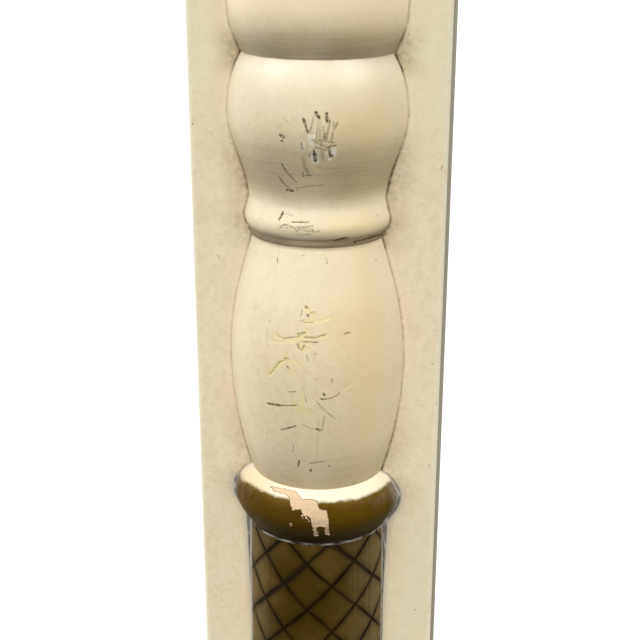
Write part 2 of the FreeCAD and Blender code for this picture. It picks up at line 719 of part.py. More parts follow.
def hanger_strap(side):
    """A steel strap with a rolled eye for the ring's bar and two screw holes."""
    lift = STRAP_LIFT
    thick = STRAP_THICKNESS
    bore = RING_BAR_RADIUS + RING_BORE_PLAY
    eye_radius = bore + thick
    half = STRAP_WIDTH / 2
    bend_start = -eye_radius - STRAP_BEND_LENGTH
    bend_end = -eye_radius
    corners = [
        Vector(-half, 0, -STRAP_LENGTH),
        Vector(-half, 0, bend_start),
        Vector(-half, lift, bend_end),
        Vector(-half, lift, 0),
        Vector(-half, lift + thick, 0),
        Vector(-half, lift + thick, bend_end),
        Vector(-half, thick, bend_start),
        Vector(-half, thick, -STRAP_LENGTH),
        Vector(-half, 0, -STRAP_LENGTH),
    ]
    leaf = Part.Face(Part.makePolygon(corners)).extrude(X_AXIS * STRAP_WIDTH)
    straight = box_between(Vector(-half, 0, half - STRAP_LENGTH), Vector(half, lift + thick, 0))
    rounded = Part.makeCylinder(half, lift + thick, Z_AXIS * (half - STRAP_LENGTH), Y_AXIS)
    leaf = leaf.common(straight.fuse(rounded))
    eye_centre = Vector(-half, lift + thick + bore, 0)
    eye = Part.makeCylinder(eye_radius, STRAP_WIDTH, eye_centre, X_AXIS)
    hole = Part.makeCylinder(bore, STRAP_WIDTH, eye_centre, X_AXIS)
    strap = leaf.fuse(eye).cut(hole).removeSplitter()
    for index in (0, 1):
        place = Vector(0, 0, hanger_screw_z(index))
        strap = strap.cut(
            Part.makeCylinder(HANGER_SCREW_RADIUS + SCREW_PLAY, thick, place, Y_AXIS))
    axis = hanger_axis(side)
    strap.translate(Vector(axis.x, 0, axis.z))
    return strap


def hanger_ring(side):
    """A D-shaped ring of round bar: straight in the strap's eye, round at its far end."""
    half = RING_HALF_WIDTH
    corner = RING_CORNER_RADIUS
    slack = corner * (1 - 0.5 ** 0.5)
    leg_end = half - RING_DROP
    top_left = Vector(corner - half, 0, 0)
    top_right = Vector(half - corner, 0, 0)
    side_right = Vector(half, 0, -corner)
    foot_right = Vector(half, 0, leg_end)
    foot = Vector(0, 0, -RING_DROP)
    foot_left = Vector(-half, 0, leg_end)
    side_left = Vector(-half, 0, -corner)
    path = [
        Part.LineSegment(top_left, top_right),
        Part.Arc(top_right, Vector(half - slack, 0, -slack), side_right),
        Part.LineSegment(side_right, foot_right),
        Part.Arc(foot_right, foot, foot_left),
        Part.LineSegment(foot_left, side_left),
        Part.Arc(side_left, Vector(slack - half, 0, -slack), top_left),
    ]
    route = Part.Wire([edge.toShape() for edge in path])
    section = Part.Wire(Part.makeCircle(RING_BAR_RADIUS, top_left, X_AXIS))
    ring = route.makePipeShell([section], True, False)
    ring.translate(hanger_axis(side))
    return ring


def build():
    """Every node of the mirror, by name."""
    nodes = {
        "left_stile": stile(-1),
        "right_stile": stile(1),
        "top_rail": end_rail(1),
        "bottom_rail": end_rail(-1),
        "mid_rail": mid_rail(),
        "mid_bead": mid_bead(),
        "backboard": backboard(),
        "backboard_screws": backboard_screws(),
    }
    nodes.update(corners())
    nodes.update(columns())
    nodes.update(glazing())
    hanger_screws = []
    for name, side in (("left", -1), ("right", 1)):
        nodes["hanger_strap_" + name] = hanger_strap(side)
        nodes["hanger_ring_" + name] = hanger_ring(side)
        hanger_screws += [hanger_screw(side, index, 0) for index in (0, 1)]
    nodes["hanger_screws"] = Part.makeCompound(hanger_screws)
    return nodes


def main():
    """Write one STEP file for each node."""
    os.makedirs("parts", exist_ok=True)
    for name, shape in build().items():
        shape.exportStep("parts/" + name + ".step")


main()
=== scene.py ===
"""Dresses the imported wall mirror: turned columns, paint, gilding, painted glass and steel.

The front faces -Y, +Z is up and lengths are metres, except where a name ends in _mm.
"""

import json
import math

import bmesh
import bpy
from bpy.props import FloatProperty, FloatVectorProperty, PointerProperty
from mathutils import Matrix, Vector, geometry, noise

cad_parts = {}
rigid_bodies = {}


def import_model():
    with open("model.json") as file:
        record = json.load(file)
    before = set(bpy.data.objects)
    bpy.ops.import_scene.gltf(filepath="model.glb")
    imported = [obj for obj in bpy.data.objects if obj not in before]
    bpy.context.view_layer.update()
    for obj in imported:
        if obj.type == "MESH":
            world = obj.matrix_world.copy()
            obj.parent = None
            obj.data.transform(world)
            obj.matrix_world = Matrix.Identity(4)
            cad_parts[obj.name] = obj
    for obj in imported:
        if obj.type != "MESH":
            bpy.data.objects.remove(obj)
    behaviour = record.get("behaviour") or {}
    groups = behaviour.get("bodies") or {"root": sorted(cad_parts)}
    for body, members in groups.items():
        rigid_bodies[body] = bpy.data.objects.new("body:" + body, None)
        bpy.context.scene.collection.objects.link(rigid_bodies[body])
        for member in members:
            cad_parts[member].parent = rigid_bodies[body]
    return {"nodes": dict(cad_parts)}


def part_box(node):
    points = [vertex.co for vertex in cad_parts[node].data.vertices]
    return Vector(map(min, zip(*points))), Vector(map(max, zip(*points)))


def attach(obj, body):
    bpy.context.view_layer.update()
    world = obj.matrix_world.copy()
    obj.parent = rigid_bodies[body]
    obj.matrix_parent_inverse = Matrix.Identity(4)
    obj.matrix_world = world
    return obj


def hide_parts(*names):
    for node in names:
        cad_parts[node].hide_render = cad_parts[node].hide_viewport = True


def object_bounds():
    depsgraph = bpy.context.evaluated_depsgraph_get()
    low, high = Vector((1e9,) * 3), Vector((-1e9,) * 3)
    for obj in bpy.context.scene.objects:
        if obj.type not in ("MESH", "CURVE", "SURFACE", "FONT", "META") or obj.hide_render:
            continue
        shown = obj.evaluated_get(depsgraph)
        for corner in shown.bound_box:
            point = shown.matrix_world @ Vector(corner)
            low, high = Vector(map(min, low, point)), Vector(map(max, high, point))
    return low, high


for leftover in list(bpy.data.objects):
    bpy.data.objects.remove(leftover, do_unlink=True)

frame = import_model()
CAD_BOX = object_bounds()
NODES = frame["nodes"]

bl_info = {
    "name": "Eglomise Mirror",
    "version": (1, 0, 0),
    "blender": (4, 5, 0),
    "location": "View3D > Sidebar > Mirror",
    "description": "Dresses a painted and gilded wall mirror around its packed frame",
    "category": "Object",
}

MM = 0.001
METRE_MM = 1000.0

# Places read from the frame
STILE_LOW, STILE_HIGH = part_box("right_stile")
RAIL_LOW, RAIL_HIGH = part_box("top_rail")
MID_RAIL_LOW, MID_RAIL_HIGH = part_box("mid_rail")
MID_BEAD_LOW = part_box("mid_bead")[0]
FRONT_Y = STILE_LOW.y
OUTER_X = STILE_HIGH.x
SIGHT_X = STILE_LOW.x
OUTER_Z = RAIL_HIGH.z
SIGHT_Z = RAIL_LOW.z
UPRIGHT_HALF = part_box("right_shaft_upper")[1].z
LEVEL_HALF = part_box("top_shaft_right")[1].x
TABLET_CENTRE_Z = (MID_RAIL_HIGH.z + SIGHT_Z) / 2

# Split turned columns, in mm from the column's centre outwards
COLUMN_SINK_MM = 4.8
BULB_HALF_MM = 14.8
BULB_RADIUS_MM = 26.0
BULB_END_RADIUS_MM = 22.3
VASE_LENGTH_MM = 41.0
VASE_RADIUS_MM = 26.6
NECK_RADIUS_MM = 20.8
NECK_BEAD_LENGTH_MM = 10.1
NECK_BEAD_RADIUS_MM = 22.2
NECK_BEAD_FOOT_MM = 21.0
FILLET_LENGTH_MM = 2.0
FILLET_RADIUS_MM = 20.6
BARREL_LENGTH_MM = 76.6
BARREL_RADIUS_MM = 27.0
BARREL_TOP_MM = 19.8
BARREL_FOOT_MM = 21.1
COLLAR_LENGTH_MM = 18.6
COLLAR_RADIUS_MM = 26.7
COLLAR_FOOT_MM = 22.5
SHAFT_RADIUS_MM = 22.9
SHAFT_END_MM = 22.3
END_RING_LENGTH_MM = 9.0
END_RING_RADIUS_MM = 25.6
END_COVE_LENGTH_MM = 4.0

NECK_START_MM = BULB_HALF_MM + VASE_LENGTH_MM
FILLET_START_MM = NECK_START_MM + NECK_BEAD_LENGTH_MM
BARREL_START_MM = FILLET_START_MM + FILLET_LENGTH_MM
COLLAR_START_MM = BARREL_START_MM + BARREL_LENGTH_MM
SHAFT_START_MM = COLLAR_START_MM + COLLAR_LENGTH_MM

# Outline shares: share of the length outwards, then share of the rise to the largest radius
BULB_SHARES = [(0.1, 0.37), (0.2, 0.69), (0.31, 0.91), (0.5, 1.0)]
VASE_RISE_SHARES = [(0.11, 0.50), (0.24, 0.84), (0.41, 1.0)]
VASE_FALL_SHARES = [(0.55, 0.88), (0.68, 0.60), (0.82, 0.26)]
NECK_RISE_SHARES = [(0.32, 0.42), (0.64, 1.0)]
NECK_FALL_SHARES = [(0.86, 0.62)]
BARREL_RISE_SHARES = [(0.12, 0.36), (0.25, 0.72), (0.40, 0.95), (0.52, 1.0)]
BARREL_FALL_SHARES = [(0.67, 0.88), (0.84, 0.53)]
COLLAR_RISE_SHARES = [(0.09, 0.44), (0.25, 0.81), (0.43, 1.0)]
COLLAR_FALL_SHARES = [(0.57, 0.95), (0.70, 0.74), (0.81, 0.45), (0.91, 0.15)]
SHAFT_SWELL_SHARES = [(0.08, 0.55), (0.5, 1.0), (0.92, 0.55)]

# How finely the turnings are made
TURNING_STEPS = 72
OUTLINE_SPACING_MM = 0.8
SHAFT_SPACING_MM = 1.6
COLLAR_STEPS = 190
COLLAR_SPACING_MM = 0.45
CLOSE_COLLAR_STEPS = 330
CLOSE_COLLAR_SPACING_MM = 0.26
CREASE_ANGLE = math.radians(28)
NOMINAL_RADIUS_MM = 25.0
TURNING_MAP = "turning"
CHIP_ATTRIBUTE = "chip"

# Marks on the photographed half of the right baluster, in mm:
# width, strength, then points as (distance below the centre, distance round from the front)
DARK_MARKS_MM = [
    (0.75, 0.75, [(29.8, -0.5), (33.6, 0.7)]), (1.4, 0.15, [(29.9, 3.5), (32.9, 3.5)]),
    (0.5, 0.25, [(28.3, 2.4), (31.5, 1.8)]), (1.0, 0.95, [(28.2, 2.7), (29.6, 3.6)]),
    (0.85, 0.85, [(28.4, 5.4), (30.6, 5.6)]), (0.37, 0.4, [(30.7, 6.3), (33.7, 5.8)]),
    (0.46, 0.6, [(34.0, 5.0), (35.4, 5.0)]), (0.48, 0.35, [(32.9, 3.7), (37.4, 4.0)]),
    (0.41, 0.5, [(36.2, 2.4), (38.0, 5.9), (37.2, 8.0)]), (1.35, 1.0, [(39.6, 2.4), (41.5, 2.5)]),
    (0.8, 0.8, [(38.8, 2.2), (39.6, 2.3)]), (0.34, 0.6, [(39.2, 1.3), (40.6, 1.0)]),
    (0.7, 0.95, [(38.1, 6.3), (40.0, 6.4)]), (0.4, 0.7, [(37.6, 6.2), (37.5, 7.5)]),
    (0.8, 1.0, [(40.4, 6.8), (40.2, 7.2)]), (0.97, 0.3, [(38.5, 4.3), (41.5, 4.6)]),
    (1.5, 0.34, [(41.2, -1.0), (45.2, 0.0)]), (0.5, 0.5, [(46.3, -0.3), (46.1, 1.1)]),
    (0.5, 0.6, [(45.5, -1.3), (46.7, -1.2)]), (1.15, 1.0, [(34.7, -6.6), (35.2, -6.0)]),
    (0.7, 0.9, [(36.3, -6.6), (36.3, -6.5)]),
    (0.45, 0.45, [(30.9, 7.2), (32.2, 7.2), (31.0, 8.2)]), (0.4, 0.4, [(33.8, 7.1), (37.4, 6.7)]),
    (0.45, 0.6, [(36.7, -1.0), (38.3, -1.0)]), (0.58, 0.2, [(29.7, -5.7), (31.2, -4.6)]),
    (0.44, 0.65, [(43.3, -7.6), (45.3, -6.6), (48.7, -3.5)]),
    (0.69, 0.6, [(44.8, -6.7), (45.4, -6.5)]),
    (0.62, 0.6, [(47.4, -9.5), (48.6, -8.7), (50.4, -6.4)]),
    (0.75, 0.9, [(51.1, -7.2), (51.1, -5.1)]), (0.63, 0.6, [(50.5, -3.4), (50.8, -3.4)]),
    (0.32, 0.35, [(50.2, -3.7), (49.1, 4.7)]), (0.36, 0.6, [(36.6, -1.0), (38.3, -0.8)]),
    (0.95, 0.9, [(58.0, -9.1), (59.9, -10.2)]), (0.35, 0.3, [(58.2, -8.9), (58.5, -5.2)]),
    (0.47, 0.7, [(60.2, -5.3), (60.0, 0.1)]),
    (0.5, 0.5, [(62.4, -9.5), (61.4, -8.6), (61.2, -7.3), (61.6, -5.4), (62.2, -3.9)]),
    (0.45, 0.3, [(62.0, -8.9), (62.1, -6.0), (61.4, -3.4), (61.9, -0.9), (61.2, 0.9)]),
    (0.5, 0.4, [(62.7, -3.6), (61.6, -2.4), (61.2, -0.1), (61.1, 1.6)]),
    (0.5, 0.4, [(61.7, -3.3), (62.5, -0.9), (62.3, 1.4), (62.7, 2.2), (62.2, 3.8)]),
    (0.4, 0.35, [(61.5, 0.2), (62.1, 1.9)]), (0.45, 0.3, [(63.9, -4.0), (63.4, 0.7)]),
    (0.7, 0.95, [(65.4, 8.9), (64.8, 13.1)]),
    (0.6, 1.0, [(66.7, 16.3), (66.4, 24.0), (66.8, 32.1)]),
    (0.56, 0.5, [(71.8, -11.6), (72.9, -11.4)]), (0.47, 0.5, [(71.1, 6.2), (72.2, 6.2)]),
    (0.78, 0.7, [(84.4, -0.3), (84.5, 0.0)]), (0.75, 0.7, [(86.6, 0.3), (86.9, 0.5)]),
    (0.33, 0.4, [(86.0, 1.2), (85.6, 2.6)]), (0.33, 0.65, [(92.3, -2.4), (91.6, -0.1)]),
    (0.44, 0.45, [(93.0, -0.4), (93.2, 2.7), (91.9, 5.5)]),
    (0.61, 0.55, [(92.4, 10.9), (92.0, 12.4)]), (0.32, 0.6, [(94.3, -1.5), (94.4, 3.3)]),
    (0.59, 0.6, [(95.2, -2.3), (96.4, -2.0)]), (0.57, 0.35, [(98.6, 0.3), (99.8, 0.6)]),
    (0.49, 0.5, [(99.8, -5.9), (100.0, -4.8)]), (0.49, 0.6, [(102.2, -5.1), (102.7, -4.8)]),
    (0.4, 0.45, [(105.6, -10.2), (101.3, -7.4), (99.8, -5.1)]),
    (0.4, 0.45, [(93.5, -8.3), (94.2, -6.0)]),
    (0.35, 0.4, [(93.8, -6.0), (93.0, -2.4), (91.7, -0.1)]),
    (0.4, 0.5, [(95.8, -2.3), (96.9, -1.1), (95.4, -0.4)]),
    (0.3, 0.5, [(85.4, -1.3), (87.1, -1.7)]),
    (0.3, 0.4, [(88.3, -1.7), (88.9, -0.2), (88.6, 1.8)]),
    (0.8, 0.7, [(111.9, 4.5), (111.9, 4.8)]), (0.68, 0.5, [(105.9, 7.1), (106.6, 7.3)]),
    (0.39, 0.6, [(110.2, -4.5), (109.9, -2.8)]), (0.74, 0.8, [(110.3, 4.9), (110.6, 5.1)]),
    (0.4, 0.55, [(111.7, 4.1), (111.9, 5.2), (111.7, 7.4), (110.2, 9.3)]),
    (0.46, 0.4, [(111.4, 0.0), (113.0, 0.0)]), (0.84, 0.95, [(115.4, -11.3), (115.2, -7.4)]),
    (0.52, 0.6, [(115.2, -7.4), (114.2, -2.6)]), (0.29, 0.45, [(112.9, 3.0), (118.7, 8.1)]),
    (0.26, 0.3, [(113.9, 2.7), (115.9, 4.9)]), (0.41, 0.4, [(117.8, 5.2), (122.3, 4.4)]),
    (0.65, 0.8, [(121.8, 3.0), (122.3, 3.9)]),
    (0.65, 0.7, [(123.4, -7.6), (122.9, -6.2), (121.3, -3.1)]),
    (0.42, 0.25, [(120.8, -1.0), (122.6, 3.6)]), (0.66, 0.8, [(133.8, -2.7), (135.7, -3.0)]),
    (0.37, 0.5, [(134.2, 0.7), (133.6, 5.2)]), (0.68, 0.5, [(135.2, 6.8), (135.4, 7.1)]),
    (0.89, 0.8, [(136.7, 1.0), (137.1, 1.1)]), (0.72, 0.4, [(89.8, -11.4), (89.9, -11.2)]),
    (0.34, 0.45, [(30.2, 1.9), (33.6, 1.2)]), (0.4, 0.38, [(31.5, 3.2), (35.7, 2.9)]),
    (0.36, 0.38, [(32.2, 4.7), (36.4, 4.5)]), (0.4, 0.5, [(30.2, 6.3), (35.7, 5.4)]),
    (0.36, 0.36, [(31.2, 7.3), (35.7, 6.7)]), (0.4, 0.4, [(30.9, 8.3), (32.9, 7.3)]),
    (0.5, 0.35, [(35.7, 1.5), (36.4, 7.4)]), (0.6, 0.35, [(37.8, 2.5), (38.6, 5.5)]),
    (0.25, 0.2, [(92.6, -11.9), (97.7, -11.6)]), (0.3, 0.45, [(128.2, -4.1), (130.3, -4.2)]),
    (0.4, 0.16, [(118.8, 3.6), (133.0, 3.0)]),
]
PALE_MARKS_MM = [
    (2.3, 0.85, [(39.4, 2.4), (41.9, 2.6)]), (1.8, 0.9, [(38.3, 7.5), (39.9, 7.6)]),
    (1.5, 0.85, [(34.7, 1.0), (34.7, 2.2)]), (1.2, 0.7, [(35.6, 1.2), (37.2, 1.7)]),
    (1.0, 1.0, [(36.7, -0.6), (37.9, -0.7)]), (0.7, 0.6, [(38.6, 1.3), (41.5, 1.5), (42.1, 3.2)]),
    (1.0, 1.0, [(41.3, 6.4), (41.4, 6.6)]), (0.56, 0.5, [(38.6, 5.6), (40.3, 5.7)]),
    (0.61, 0.4, [(87.0, -1.4), (87.3, -1.2)]),
]
YELLOW_MARKS_MM = [
    (0.62, 0.66, [(31.8, 6.8), (35.7, 7.1)]), (0.77, 0.44, [(31.9, -6.0), (34.1, -6.1)]),
    (1.52, 0.55, [(43.3, 2.0), (44.5, 3.2)]),
    (1.2, 0.88, [(93.4, -8.7), (94.3, -4.7), (93.1, -1.2), (91.0, 0.1)]),
    (1.0, 0.55, [(95.5, -10.2), (94.2, -1.2)]),
    (1.3, 0.77, [(88.4, -0.8), (88.5, 3.2), (87.4, 6.7)]),
    (0.94, 0.55, [(93.4, -1.2), (92.6, 5.8)]), (1.73, 0.66, [(94.0, -2.4), (96.5, -0.6)]),
    (1.29, 0.88, [(106.0, -10.6), (102.0, -7.7), (99.1, -5.4)]),
    (1.33, 0.55, [(98.3, -6.0), (100.8, -3.9)]), (0.84, 0.55, [(100.0, -3.1), (102.3, -1.1)]),
    (2.16, 0.33, [(104.8, -3.9), (107.7, -2.5)]), (1.25, 0.44, [(109.2, -1.1), (111.7, -0.3)]),
    (1.74, 0.55, [(114.0, -3.4), (116.3, 0.2)]), (2.57, 0.44, [(116.1, -1.2), (117.2, 1.6)]),
    (1.12, 0.88, [(109.1, 10.4), (107.7, 12.4)]), (1.6, 0.6, [(84.6, -0.4), (86.8, 1.8)]),
    (1.8, 0.5, [(88.0, 0.4), (88.4, 4.0)]), (2.0, 0.6, [(92.6, -2.6), (94.6, 0.4)]),
    (1.9, 0.45, [(100.4, -5.0), (104.5, -3.4)]), (1.7, 0.5, [(112.2, -0.8), (116.0, -1.8)]),
    (0.9, 0.4, [(119.6, 3.5), (131.0, 3.1)]),
]

# Marks on the photographed half of the right stile, in the same way, with the distance to
# the right of the stile's middle
BOARD_PALE_MARKS_MM = [
    (0.38, 0.9, [(17.4, -37.4), (18.9, -37.3)]), (0.29, 0.8, [(21.6, -36.8), (23.0, -36.8)]),
    (0.34, 0.9, [(25.1, -36.6), (25.8, -36.5)]), (0.25, 0.7, [(26.8, -36.9), (27.4, -36.9)]),
    (0.17, 0.6, [(36.9, -32.2), (37.8, -31.6)]), (0.17, 0.6, [(37.8, -31.6), (37.0, -30.9)]),
    (0.42, 0.8, [(119.4, 36.9), (121.9, 36.9)]), (0.34, 0.7, [(70.6, 37.3), (71.6, 37.3)]),
    (0.21, 0.6, [(93.8, 26.4), (94.2, 26.4)]), (0.29, 0.6, [(188.6, -37.7), (189.8, -37.6)]),
    (0.15, 0.35, [(39.5, 27.0), (41.9, 27.6)]),
]
BOARD_DARK_MARKS_MM = [
    (0.32, 1.0, [(36.1, -36.8), (36.3, -36.8)]), (0.19, 0.8, [(46.2, 36.5), (47.2, 36.2)]),
    (0.21, 0.8, [(9.2, 25.9), (9.4, 25.9)]), (0.23, 0.75, [(76.0, -30.3), (76.3, -30.0)]),
    (0.19, 0.7, [(120.3, 37.2), (120.8, 37.0)]), (0.13, 0.5, [(96.3, 35.8), (96.6, 35.8)]),
    (0.15, 0.4, [(3.2, 22.1), (3.5, 22.1)]), (0.13, 0.35, [(38.3, -31.4), (39.2, -31.2)]),
]

# Smudges on the lattice of the photographed shaft, in the same way
SMUDGES_MM = [
    (2.3, 0.85, [(190.0, -21.5), (178.1, -8.8)]), (3.0, 0.8, [(178.1, -8.8), (169.9, -0.6)]),
    (1.4, 0.6, [(169.9, -0.6), (164.6, 5.6), (163.5, 7.8)]),
    (1.9, 0.8, [(163.5, 7.8), (166.2, 12.2), (169.9, 16.4)]),
    (1.3, 0.7, [(169.9, 16.4), (178.2, 24.9)]), (1.2, 0.6, [(161.6, -8.0), (170.4, -18.8)]),
]

# Chips in the photographed collar, in mm: (distance past the barrel's foot, distance round)
CLOSE_CHIPS_MM = [
    [(1.2, -6.8), (0.8, -6.3), (0.7, -3.8), (2.0, -1.9), (1.9, 1.0), (2.3, 3.0), (3.7, 3.6),
     (4.4, 3.9), (4.5, 6.0), (7.2, 6.4), (13.3, 6.9), (13.1, 5.7), (9.8, 5.3), (9.4, 3.9),
     (10.1, 3.0), (13.7, 3.6), (13.7, 2.4), (9.4, 1.9), (6.3, 1.3), (5.9, -0.1),
     (5.7, -1.0), (4.6, -1.7), (5.0, -4.4), (3.3, -5.2)],
    [(0.9, -14.4), (0.5, -8.2), (0.8, -6.2), (1.6, -6.4), (1.5, -9.2), (1.5, -13.0)],
]
CLOSE_FLECKS_MM = [
    [(6.2, -1.3), (6.1, 1.3), (7.9, 1.7), (7.8, -0.6)],
    [(8.9, -5.0), (8.7, -4.3), (10.0, -4.2), (10.2, -4.7)],
]
# Where they all lie, past the foot and round
CLOSE_REACH_MM = ((-0.5, 15.0), (-16.0, 8.0))
CHIP_EDGE_MM = 0.22
CHIP_DEPTH_MM = 0.4
CHIP_RAGGED_MM = 0.35
CHIP_SEED = 4
FLECK_EDGE_MM = 0.2
FLECK_DEPTH = 0.62
# Noise above this gives a chip on the other collars, fully deep this much further up
SCATTER_START = 0.44
SCATTER_RISE = 0.03
# The flat backs and what lies this near them stay whole
CHIP_CLEAR_MM = 0.2


class FinishColours(bpy.types.PropertyGroup):
    """Colours of the finishes."""

    cream: FloatVectorProperty(
        name="Cream paint", description="Paint on the boards and the turned middles",
        subtype="COLOR", min=0.0, max=1.0, default=(0.733, 0.643, 0.458))
    board: FloatVectorProperty(
        name="Board paint", description="The same paint, duller, on the flat boards",
        subtype="COLOR", min=0.0, max=1.0, default=(0.765, 0.685, 0.505))
    warm_cream: FloatVectorProperty(
        name="Yellowed cream", description="Paint that has yellowed, at the columns' sides",
        subtype="COLOR", min=0.0, max=1.0, default=(0.743, 0.592, 0.305))
    # In the creases this toning also stands in for painted shade
    toning: FloatVectorProperty(
        name="Toning", description="Brown toning wiped into the corners",
        subtype="COLOR", min=0.0, max=1.0, default=(0.30, 0.20, 0.10))
    band: FloatVectorProperty(
        name="Collar band", description="Pale band at the barrel's side of each collar",
        subtype="COLOR", min=0.0, max=1.0, default=(0.74, 0.69, 0.51))
    gilt: FloatVectorProperty(
        name="Antique gilt", description="Darkened gilding on collars, rosettes and bead",
        subtype="COLOR", min=0.0, max=1.0, default=(0.058, 0.033, 0.0015))
    # On the collars it also gives painted highlights on the upper slope
    bright_gilt: FloatVectorProperty(
        name="Rubbed gilt", description="Gilding where it is rubbed brighter",
        subtype="COLOR", min=0.0, max=1.0, default=(0.125, 0.075, 0.004))
    bronze: FloatVectorProperty(
        name="Shaft bronze", description="Ground of the latticed shafts",
        subtype="COLOR", min=0.0, max=1.0, default=(0.051, 0.030, 0.0042))
    lattice: FloatVectorProperty(
        name="Lattice line", description="Brush lines of the lattice",
        subtype="COLOR", min=0.0, max=1.0, default=(0.009, 0.005, 0.002))
    silver: FloatVectorProperty(
        name="Silver line", description="Silvered lines along collars and shafts",
        subtype="COLOR", min=0.0, max=1.0, default=(0.47, 0.46, 0.425))
    chip: FloatVectorProperty(
        name="Bare chip", description="Gesso laid bare where the gilding is chipped",
        subtype="COLOR", min=0.0, max=1.0, default=(0.575, 0.44, 0.285))


class LatticeSizes(bpy.types.PropertyGroup):
    """Sizes of the painted lattice on the shafts."""

    diamond_width: FloatProperty(
        name="Diamond width", description="Width of one diamond round the shaft, in mm",
        default=17.3, min=4.0, max=60.0)
    diamond_height: FloatProperty(
        name="Diamond height", description="Length of one diamond along the shaft, in mm",
        default=16.4, min=4.0, max=60.0)
    line_width: FloatProperty(
        name="Line width", description="Width of a brush line, in mm",
        default=1.1, min=0.2, max=6.0)


class StageSettings(bpy.types.PropertyGroup):
    """Camera and light."""

    camera_place: FloatVectorProperty(
        name="Camera place", description="Where the camera stands", subtype="TRANSLATION",
        unit="LENGTH", size=3, default=(0.3421, -0.3816, 0.0283))
    camera_turn: FloatProperty(
        name="Turn", description="How far the camera turns to the left of straight on",
        subtype="ANGLE", default=0.1418)
    camera_tilt: FloatProperty(
        name="Tilt", description="How far the camera looks down",
        subtype="ANGLE", default=0.3416)
    camera_roll: FloatProperty(
        name="Roll", description="How far the camera is rolled",
        subtype="ANGLE", default=-0.0022)
    lens_mm: FloatProperty(
        name="Lens", description="Focal length for a 36 mm sensor, in mm", default=67.98)
    lamp_strength: FloatProperty(
        name="Lamps", description="Strength of the lamps above and beside", default=2.32, min=0.0)
    ambient: FloatProperty(
        name="Room light", description="Strength of the even light from all round",
        default=0.11, min=0.0)


def colours():
    """The finish colours of this scene."""
    return bpy.context.scene.mirror_colours


# Node recipes


def reckoned(operation, swapped=False):
    """A method that gives the result of a Math node with two values."""
    def result(self, other):
        values = (other, self) if swapped else (self, other)
        return self.recipe.math(operation, *values)
    return result


class Signal:
    """A value in a node tree: it goes into sums as a number does, and a | b is the larger."""

    def __init__(self, recipe, socket):
        self.recipe = recipe
        self.socket = socket

    __add__, __radd__ = reckoned("ADD"), reckoned("ADD", swapped=True)
    __sub__, __rsub__ = reckoned("SUBTRACT"), reckoned("SUBTRACT", swapped=True)
    __mul__, __rmul__ = reckoned("MULTIPLY"), reckoned("MULTIPLY", swapped=True)
    __truediv__, __rtruediv__ = reckoned("DIVIDE"), reckoned("DIVIDE", swapped=True)
    __or__, __ror__ = reckoned("MAXIMUM"), reckoned("MAXIMUM", swapped=True)

    def __abs__(self):
        return self.recipe.math("ABSOLUTE", self)

    def clamped(self):
        """The same value, kept between 0 and 1."""
        self.socket.node.use_clamp = True
        return self

    def parts(self):
        """The three coordinates of a vector."""
        return list(self.recipe.results("ShaderNodeSeparateXYZ", {0: self}).values())

    def scaled(self, factor):
        """A vector times a number."""
        return self.recipe.results(
            "ShaderNodeVectorMath", {0: self, "Scale": factor}, operation="SCALE")["Vector"]

    def spread(self, low, high, result_low=0.0, result_high=1.0, course="LINEAR"):
        """A number that runs from one result to the other as the value goes from low to high."""
        return self.recipe.results(
            "ShaderNodeMapRange", {0: self, 1: low, 2: high, 3: result_low, 4: result_high},
            interpolation_type=course)["Result"]

    def eased(self, low, high, result_low=0.0, result_high=1.0):
        """The same with a soft start and end."""
        return self.spread(low, high, result_low, result_high, "SMOOTHSTEP")

    def noise(self, scale, detail=3.0, roughness=0.55):
        """A noise value from 0 to 1 at this place."""
        return self.recipe.results("ShaderNodeTexNoise", {
            "Vector": self, "Scale": scale, "Detail": detail, "Roughness": roughness})["Fac"]

    def cracks(self, scale):
        """Distance at this place from the nearest line of a net of cracks."""
        return self.recipe.results(
            "ShaderNodeTexVoronoi", {"Vector": self, "Scale": scale},
            feature="DISTANCE_TO_EDGE")["Distance"]

    def mix(self, first, second, blend="MIX"):
        """Two colours mixed, with this share of the second."""
        made = self.recipe.node(
            "ShaderNodeMix", {0: self, 6: first, 7: second}, data_type="RGBA", blend_type=blend)
        return Signal(self.recipe, made.outputs[2])


